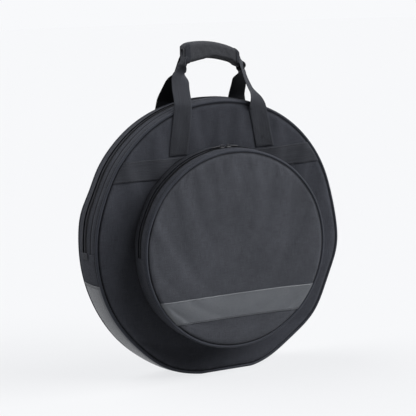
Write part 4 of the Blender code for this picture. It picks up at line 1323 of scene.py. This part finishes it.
# Pieces that stand for the one node they're kept under.
for slot, place, nodes in (
        ("body_nylon", "shell", "front_panel front_zip_strip side_gusset_left side_gusset_right "
                                "pocket_zip_rear_strip pocket_lower_gusset"),
        ("body_nylon", REAR_BEND, "rear_zip_strip"),
        ("body_nylon", POCKET_BEND, "pocket_zip_front_strip"),
        ("foam", "shell", "front_foam gusset_foam"),
        ("lining_cloth", "shell", "front_lining gusset_lining divider_front divider_rear"),
        ("piping_black", "shell", "front_piping"),
        ("gusset_vinyl", "shell", "base_gusset pocket_vinyl_strip"),
        ("webbing", "shell", "front_band_left front_band_right zip_end_tab_left zip_end_tab_right"),
        ("webbing", "rear_flap", "rear_band"),
        ("zip_tape", "shell", "main_zip_front_half pocket_zip_rear_half"),
        ("zip_tape", REAR_BEND, "main_zip_rear_half"),
        ("zip_tape", POCKET_BEND, "pocket_zip_front_half"),
        ("wrap_nylon", "front_handle", "grip_wrap"),
        ("wrap_nylon", "grip_flap", "grip_flap")):
    for node in nodes.split():
        dressed(made[node], slot, place, node)
for zip_name in ("main", "pocket"):
    for node in ("%s_%s_%s" % (zip_name, kind, end) for kind in ("slider", "pull") for end, _ in SIDES):
        dressed(made[node], "zip_metal", node, node)
# Pieces that stand for both halves of a panel, or for a web and its two sewn ends.
for slot, part in (("body_nylon", "panel"), ("foam", "foam"), ("lining_cloth", "lining"),
                   ("piping_black", "piping")):
    node = "rear_" + part
    dressed(made[node], slot, REAR_BEND, node + "_upper", node + "_lower")
for slot, part in (("pocket_nylon", "face"), ("foam", "pad"), ("piping_black", "piping")):
    node = "pocket_" + part
    dressed(made[node], slot, POCKET_BEND, node + "_upper", node + "_lower")
for side, place in (("front", FRONT_HANDLE_BEND), ("rear", REAR_HANDLE_BEND)):
    dressed(made[side + "_handle_web"], "webbing", place, side + "_handle_web",
            side + "_anchor_left", side + "_anchor_right")
# Pieces too fine to have a node of their own.
for slot, place, pieces in (
        ("zip_tape", "shell", "main_zip_front_coil pocket_zip_rear_coil"),
        ("zip_tape", REAR_BEND, "main_zip_rear_coil"),
        ("zip_tape", POCKET_BEND, "pocket_zip_front_coil"),
        ("webbing", "front_handle", "grip_binding_left grip_binding_right"),
        ("webbing", "rear_flap", "rear_panel_stitching"),
        ("webbing", REAR_BEND, "rear_strip_stitching"),
        ("webbing", POCKET_BEND, "pocket_front_stitching"),
        ("webbing", "shell", "divider_binding_front divider_binding_rear front_strip_stitching "
                             "pocket_rear_stitching front_panel_stitching base_vinyl_stitching "
                             "pocket_vinyl_stitching")):
    for name in pieces.split():
        dressed(made[name], slot, place)

# %% [markdown]
# ## Finishes
#
# Every finish is built from a few shared effects: a plain weave, ribbed webbing, a pebbled
# grain, dust, and wear at seams. Each effect is a node group that puts out a height or a mask, and
# each material decides what to do with it. The weaves read the chart, so they follow the cloth
# when it bends; dust and broad shade read object coordinates.

# %% Node helpers
def add(tree, kind, feeds=(), **settings):
    """A node with its settings, whose inputs are linked where a socket is given or else set."""
    node = tree.nodes.new(kind)
    for key, value in settings.items():
        setattr(node, key, value)
    for key, value in dict(feeds).items():
        if isinstance(value, bpy.types.NodeSocket):
            tree.links.new(value, node.inputs[key])
        else:
            node.inputs[key].default_value = value
    return node


def calc(tree, operation, *values):
    """The result of a math node."""
    return add(tree, "ShaderNodeMath", dict(enumerate(values)), operation=operation).outputs[0]


def scaled(tree, vector, scale):
    """A vector or colour times a scale."""
    return add(tree, "ShaderNodeVectorMath", {0: vector, "Scale": scale}, operation="SCALE").outputs[0]


def noise(tree, place, scale, detail, **more):
    """The output sockets of a noise: its level first, then its colour."""
    return add(tree, "ShaderNodeTexNoise", {"Vector": place, "Scale": scale, "Detail": detail,
                                            **more}).outputs


def stretched(tree, value, low, high, **settings):
    """A value stretched so that low becomes 0 and high becomes 1, held between them."""
    return add(tree, "ShaderNodeMapRange", {0: value, 1: low, 2: high}, **settings).outputs[0]


def rounds(tree, value):
    """Half plus half the cosine of whole turns: the round backs of threads, one to a unit."""
    turns = calc(tree, "MULTIPLY", value, 2 * math.pi)
    return calc(tree, "MULTIPLY_ADD", calc(tree, "COSINE", turns), 0.5, 0.5)


def new_group(name, inputs, outputs):
    """An empty node group, its input sockets, and a function that links its outputs.

    An input that starts from a number is a number, and one that starts from None is a vector.
    """
    tree = bpy.data.node_groups.new(name, "ShaderNodeTree")
    for title, start in inputs.items():
        kind = "Vector" if start is None else "Float"
        socket = tree.interface.new_socket(name=title, in_out="INPUT", socket_type="NodeSocket" + kind)
        if start is not None:
            socket.default_value = start
    for title in outputs:
        tree.interface.new_socket(name=title, in_out="OUTPUT", socket_type="NodeSocketFloat")
    given = tree.nodes.new("NodeGroupInput").outputs
    out = tree.nodes.new("NodeGroupOutput").inputs

    def put_out(*values):
        for title, value in zip(outputs, values):
            tree.links.new(value, out[title])
        print(name, "has", len(tree.nodes), "nodes")
        return tree
    return tree, given, put_out


def axes_of(tree, vector, scale):
    """The x and y of a vector times a scale."""
    return add(tree, "ShaderNodeSeparateXYZ", {0: scaled(tree, vector, scale)}).outputs[:2]


print("node helpers ready")

# %% [markdown]
# A plain weave passes each thread over one and under the next. Two cosines give the round backs
# of the threads, and the product of two sines at half the pace says which of them is on top.
# Yarn is never even, so each thread gets its own shade from noise stretched along it.

# %% Woven cloth
def weave_group():
    """Height: the upper thread's cosine. Shade: the stretched noise of the upper thread."""
    tree, given, put_out = new_group("plain_weave", {"Chart": None, "Threads": 1800.0},
                                     ("Height", "Shade"))
    u, v = axes_of(tree, given["Chart"], given["Threads"])
    backs = [rounds(tree, value) for value in (u, v)]
    sines = [calc(tree, "SINE", calc(tree, "MULTIPLY", value, math.pi)) for value in (u, v)]
    upper = calc(tree, "MULTIPLY_ADD", calc(tree, "MULTIPLY", *sines), 0.5, 0.5)
    slubs = []
    for stretch in ((1.0, 0.045), (0.045, 1.0)):
        place = add(tree, "ShaderNodeCombineXYZ", {axis: calc(tree, "MULTIPLY", value, stretch[axis])
                                                   for axis, value in enumerate((u, v))})
        slubs.append(noise(tree, place.outputs[0], 0.55, 1.0)[0])
    height, shade = (add(tree, "ShaderNodeMix", {0: upper, 2: pair[0], 3: pair[1]}).outputs[0]
                     for pair in (backs, slubs))
    return put_out(height, shade)


WEAVE = weave_group()

# %% [markdown]
# Webbing is woven so tightly that its warp shows as ribs along its length, with a fine step
# across them where the weft dives under.

# %% Webbing
def webbing_group():
    """Height: ribs as a cosine across, lowered by a slanting cosine along."""
    tree, given, put_out = new_group("ribbed_webbing", {"Chart": None, "Ribs": 620.0},
                                     ("Height", "Shade"))
    u, v = axes_of(tree, given["Chart"], given["Ribs"])
    zigzag = calc(tree, "PINGPONG", u, 4.0)
    step = rounds(tree, calc(tree, "ADD", calc(tree, "MULTIPLY", v, 1.6), zigzag))
    height = calc(tree, "MULTIPLY_ADD", step, 0.35, calc(tree, "MULTIPLY", rounds(tree, u), 0.65))
    place = add(tree, "ShaderNodeCombineXYZ", {0: u, 1: calc(tree, "MULTIPLY", v, 0.03)})
    return put_out(height, noise(tree, place.outputs[0], 0.7, 1.0)[0])


WEBBING = webbing_group()

# %% [markdown]
# The vinyl has a leather-like print: pebbles a millimetre or two wide between fine creases.
# Dust settles as specks of lint and as a pale bloom in patches. Seams and rims wear pale.

# %% Grain, dust and worn seams
def grain_group():
    """Height: distance to the cell's edge in warped cells, levelled off on top of each pebble."""
    tree, given, put_out = new_group("leather_grain", {"Chart": None, "Scale": 650.0}, ("Height",))
    shift = scaled(tree, noise(tree, given["Chart"], 260.0, 1.0)[1], 0.0012)
    place = add(tree, "ShaderNodeVectorMath", {0: given["Chart"], 1: shift}, operation="ADD")
    cells = add(tree, "ShaderNodeTexVoronoi", {"Vector": place.outputs[0], "Scale": given["Scale"]},
                feature="DISTANCE_TO_EDGE")
    return put_out(stretched(tree, cells.outputs[0], 0.0, 0.22, interpolation_type="SMOOTHSTEP"))


def dust_group():
    """Specks: noise above a high level. Bloom: broad noise between two levels."""
    tree, given, put_out = new_group("dust", {"Place": None}, ("Specks", "Bloom"))
    fine = noise(tree, given["Place"], 520.0, 2.0)[0]
    broad = noise(tree, given["Place"], 7.0, 4.0, Roughness=0.55)[0]
    return put_out(stretched(tree, fine, 0.69, 0.75), stretched(tree, broad, 0.35, 0.70))


def wear_group():
    """Wear: the seam value broken up by noise along the seam."""
    tree, given, put_out = new_group("worn_seam", {"Seam": 0.0, "Place": None}, ("Wear",))
    broken = stretched(tree, noise(tree, given["Place"], 45.0, 3.0)[0], 0.38, 0.66)
    return put_out(calc(tree, "MULTIPLY", given["Seam"], broken))


GRAIN = grain_group()
DUST = dust_group()
WORN_SEAM = wear_group()

# %% [markdown]
# Each material starts the same way: a shader, the chart, the object's coordinates, dust and
# seam wear. What differs is the height under it and how far each mask changes the colour. Where
# cloth is sewn in it lies in its own shade, so some materials also darken beside a seam.

# %% Material maker
def shaded(tree, base, masks):
    """The base colour, brightened or darkened in turn by each mask's share of a change.

    A mask of 0 to 1 becomes a factor from 1 - change to 1 + change, or if it's one-sided, from 1
    to 1 + change, and the colour is multiplied by all factors.
    """
    factor = 1.0
    for mask, change, two_sided in masks:
        low = 1 - change if two_sided else 1.0
        step = calc(tree, "MULTIPLY_ADD", mask, 1 + change - low, low)
        factor = calc(tree, "MULTIPLY", factor, step)
    return scaled(tree, base, factor)


def finish_material(name, base, rough, surface, height=0.6, relief=0.0002, shade=0.2, bloom=0.12,
                    specks=0.5, worn=0.3, rough_swing=0.08, sheen=0.0, specular=0.03, metallic=0.0,
                    pitch=None, wrinkle=0.0, tucked=0.0):
    """A material from a surface group: colour by height, yarn shade, dust, wear and painted shade beside
    seams; bump by height.
    """
    material = bpy.data.materials.new(name)
    material.use_nodes = True
    material.diffuse_color = (*base, 1)
    tree = material.node_tree
    chart = add(tree, "ShaderNodeUVMap", uv_map="chart").outputs[0]
    place = add(tree, "ShaderNodeTexCoord").outputs["Object"]
    seam = add(tree, "ShaderNodeAttribute", attribute_name="seam").outputs["Fac"]
    dust = add(tree, "ShaderNodeGroup", node_tree=DUST)
    rub = add(tree, "ShaderNodeGroup", node_tree=WORN_SEAM)
    for socket, group, key in ((place, dust, "Place"), (seam, rub, "Seam"), (place, rub, "Place")):
        tree.links.new(socket, group.inputs[key])
    masks = [(dust.outputs["Bloom"], bloom, True), (dust.outputs["Specks"], specks, False),
             (rub.outputs["Wear"], worn, False)]
    # Painted shade: the colour is darkened beside each seam, where sewn cloth lies in shade.
    if tucked:
        masks.append((stretched(tree, seam, 0.55, 0.9), -tucked, False))
    heights = []
    if wrinkle:
        heights.append((noise(tree, place, 26.0, 3.0)[0], wrinkle, 1.0))
    if surface:
        cover = add(tree, "ShaderNodeGroup", node_tree=surface)
        tree.links.new(chart, cover.inputs["Chart"])
        cover.inputs[1].default_value = pitch
        heights.append((cover.outputs["Height"], relief, 0.7))
        masks.append((cover.outputs["Height"], height, True))
        if "Shade" in cover.outputs:
            masks.append((cover.outputs["Shade"], shade, True))
    shader = tree.nodes["Principled BSDF"].inputs
    tree.links.new(shaded(tree, base, masks), shader["Base Color"])
    uneven = calc(tree, "MULTIPLY_ADD", dust.outputs["Bloom"], rough_swing, rough - rough_swing / 2)
    tree.links.new(uneven, shader["Roughness"])
    normal = {}
    for level, distance, strength in heights:
        bump = add(tree, "ShaderNodeBump", {"Height": level, "Distance": distance,
                                            "Strength": strength, **normal})
        normal = {"Normal": bump.outputs[0]}
    if normal:
        tree.links.new(normal["Normal"], shader["Normal"])
    for key, value in (("Sheen Weight", sheen), ("Sheen Roughness", 0.45),
                       ("Specular IOR Level", specular), ("Metallic", metallic)):
        shader[key].default_value = value
    return material


print("material maker ready")

# %% The bag's finishes
# The body and pocket nylon and the zip tape get painted shade beside their seams.
NYLON = {"shade": 0.5, "sheen": 0.02, "pitch": 1700.0, "tucked": 0.75}
WEB = {"height": 0.45, "relief": 0.0003, "shade": 0.3, "pitch": 620.0}
# Each finish is its colour, its roughness, its surface group and what it changes.
FINISHES = {
    "pocket_nylon": ((0.056, 0.059, 0.069), 0.72, WEAVE,
                     {**NYLON, "height": 0.35, "relief": 0.00022, "wrinkle": 0.0014}),
    "body_nylon": ((0.042, 0.0445, 0.054), 0.72, WEAVE,
                   {**NYLON, "height": 0.35, "relief": 0.00022, "wrinkle": 0.0016}),
    "wrap_nylon": ((0.056, 0.058, 0.065), 0.78, WEAVE,
                   {**NYLON, "height": 0.3, "shade": 0.3, "wrinkle": 0.0006, "tucked": 0.0}),
    "lining_cloth": ((0.060, 0.060, 0.065), 0.85, WEAVE,
                     {"height": 0.25, "relief": 0.00015, "sheen": 0.35, "pitch": 2600.0}),
    "webbing": ((0.036, 0.038, 0.045), 0.60, WEBBING, {**WEB, "sheen": 0.03}),
    # A nearly black copy of the webbing: painted shade for the webs' unlit inner faces.
    "webbing_inside": ((0.008, 0.0085, 0.010), 0.7, WEBBING, WEB),
    "zip_tape": ((0.042, 0.044, 0.053), 0.7, WEAVE, {"height": 0.35, "tucked": 0.85, "pitch": 2100.0}),
    "gusset_vinyl": ((0.068, 0.074, 0.086), 0.40, GRAIN,
                     {"height": 0.10, "relief": 0.00022, "bloom": 0.08, "specks": 0.15, "worn": 0.25,
                      "wrinkle": 0.0010, "specular": 0.5, "pitch": 650.0}),
    "piping_black": ((0.036, 0.039, 0.049), 0.55, GRAIN,
                     {"height": 0.12, "relief": 0.00012, "specular": 0.08, "pitch": 1100.0}),
    "foam": ((0.30, 0.30, 0.31), 0.95, GRAIN,
             {"height": 0.3, "relief": 0.0003, "specular": 0.2, "pitch": 1400.0}),
    "zip_metal": ((0.06, 0.06, 0.064), 0.45, None,
                  {"bloom": 0.15, "specks": 0.0, "worn": 0.0, "rough_swing": 0.16, "metallic": 1.0}),
    "zip_coil": ((0.036, 0.037, 0.041), 0.5, None, {"bloom": 0.1, "specks": 0.3, "worn": 0.0}),
    "sewing_thread": ((0.030, 0.030, 0.032), 0.55, None,
                      {"bloom": 0.2, "specks": 0.3, "worn": 0.0, "sheen": 0.1})}
finish = {name: finish_material(name, base, rough, surface, **more)
          for name, (base, rough, surface, more) in FINISHES.items()}
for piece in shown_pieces():
    if piece.data.materials:
        continue
    name = piece["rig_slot"]
    for ending, special in (("_coil", "zip_coil"), ("_stitching", "sewing_thread")):
        name = special if piece.name.endswith(ending) else name
    piece.data.materials.append(finish[name])
# Faces of the webs that look at the other web get painted shade: a nearly black copy of the webbing, for
# faces that lie unlit.
for side, facing in FACES:
    mesh = made[side + "_handle_web"].data
    normals = np.empty(3 * len(mesh.polygons), np.float32)
    mesh.polygons.foreach_get("normal", normals)
    mesh.materials.append(finish["webbing_inside"])
    mesh.polygons.foreach_set("material_index", (normals[1::3] * facing < -0.05).astype(np.int32))

# %% [markdown]
# ## Camera
#
# The photograph was taken with a long lens from a little above, so the rims stay almost round.
# Its place and turn were worked out from the two rims, the pocket's edge and the bands.

# %% Camera
AZIMUTH, ELEVATION, ROLL = np.radians((-28.483, 9.223, -1.871))
AIM = Vector((-0.0033, 0, 0.3787))
AWAY = 4.589
LENS = 170.98


def direction(azimuth, elevation):
    """The unit vector out to an angle on the ground, from the front, and a height, in radians."""
    level = math.cos(elevation)
    return Vector((math.sin(azimuth) * level, -math.cos(azimuth) * level, math.sin(elevation)))


back = direction(AZIMUTH, ELEVATION)
right = Vector((math.cos(AZIMUTH), math.sin(AZIMUTH), 0))
up = back.cross(right)
turned = (right * math.cos(ROLL) + up * math.sin(ROLL), up * math.cos(ROLL) - right * math.sin(ROLL), back)
camera = shown("camera", bpy.data.cameras.new("camera"))
camera.matrix_world = Matrix.Translation(AIM + back * AWAY) @ Matrix(turned).transposed().to_4x4()
camera.data.lens = LENS
camera.data.sensor_width = 36
camera.data.clip_end = 100
bpy.context.scene.camera = camera
bpy.context.scene.view_settings.view_transform = "Standard"
print("camera at", tuple(round(value, 3) for value in camera.matrix_world.translation))

# %% [markdown]
# ## Light and floor
#
# The picture is a product shot on white, lit softly from the right. Lamps of the area kind would
# fall off across the bag, so four broad suns stand in for them. The strongest comes low from the
# right, and a smaller one nearer the camera draws the pocket's shadow. One from behind lights the
# rims and lays the bag's shadow to the front, and a faint one comes from above. The floor shows a
# pale colour to the camera by itself, and a diffuse part keeps the shadow.

# %% Lamps, world and floor
BACKGROUND = (0.939, 0.947, 0.964)
FLOOR_GLOW = (0.748, 0.756, 0.773)
FLOOR_SHADE = 0.122
FLOOR_BOUNCE = 0.42
FLOOR_REACH = 12
WORLD_LIGHT = 0.02
# Each lamp is its angle on the ground and its height, its strength, and its size in degrees.
LAMPS = {"key": (28, 42, 1.15, 22), "fill": (62, 29, 3.2, 34), "top": (0, 70, 0.2, 60),
         "back": (-140, 50, 2.8, 60)}
for name, (azimuth, elevation, strength, size) in LAMPS.items():
    sun = bpy.data.lights.new(name, "SUN")
    sun.energy = strength
    sun.angle = math.radians(size)
    shine = direction(math.radians(azimuth), math.radians(elevation))
    shown(name, sun).rotation_euler = shine.to_track_quat("Z", "Y").to_euler()


def seen_by_eye(tree):
    """1 for rays from the camera, or that a mirror or glass sends on, else 0."""
    path = add(tree, "ShaderNodeLightPath").outputs
    both = calc(tree, "MAXIMUM", path["Is Camera Ray"], path["Is Glossy Ray"])
    return calc(tree, "MAXIMUM", both, path["Is Transmission Ray"])


world = bpy.data.worlds.new("studio")
bpy.context.scene.world = world
world.use_nodes = True
tree = world.node_tree
tree.nodes.clear()
lit = add(tree, "ShaderNodeBackground", {"Color": (1, 1, 1, 1), "Strength": WORLD_LIGHT})
seen = add(tree, "ShaderNodeBackground", {"Color": (*BACKGROUND, 1), "Strength": 1.0})
both = add(tree, "ShaderNodeMixShader", {0: seen_by_eye(tree), 1: lit.outputs[0], 2: seen.outputs[0]})
add(tree, "ShaderNodeOutputWorld", {0: both.outputs[0]})

floor_material = bpy.data.materials.new("pale_floor")
floor_material.use_nodes = True
tree = floor_material.node_tree
shader = tree.nodes["Principled BSDF"].inputs
shader["Roughness"].default_value = 0.9
shader["Specular IOR Level"].default_value = 0.0
shader["Emission Strength"].default_value = 1.0
eye = seen_by_eye(tree)
tree.links.new(calc(tree, "MULTIPLY_ADD", eye, FLOOR_SHADE - FLOOR_BOUNCE, FLOOR_BOUNCE),
               shader["Base Color"])
tree.links.new(scaled(tree, FLOOR_GLOW, eye), shader["Emission Color"])
outwards = FLOOR_REACH * np.linspace(0, 1, 40)[:, None] ** 2
turn = np.linspace(0, 2 * math.pi, 65)[None, :]
ground = np.stack([outwards * np.cos(turn), outwards * np.sin(turn), 0 * outwards * turn], -1)
floor = sew("floor", [(ground, ground[..., :2], 0.0)])
floor.data.materials.append(floor_material)
print("lamps", list(LAMPS))
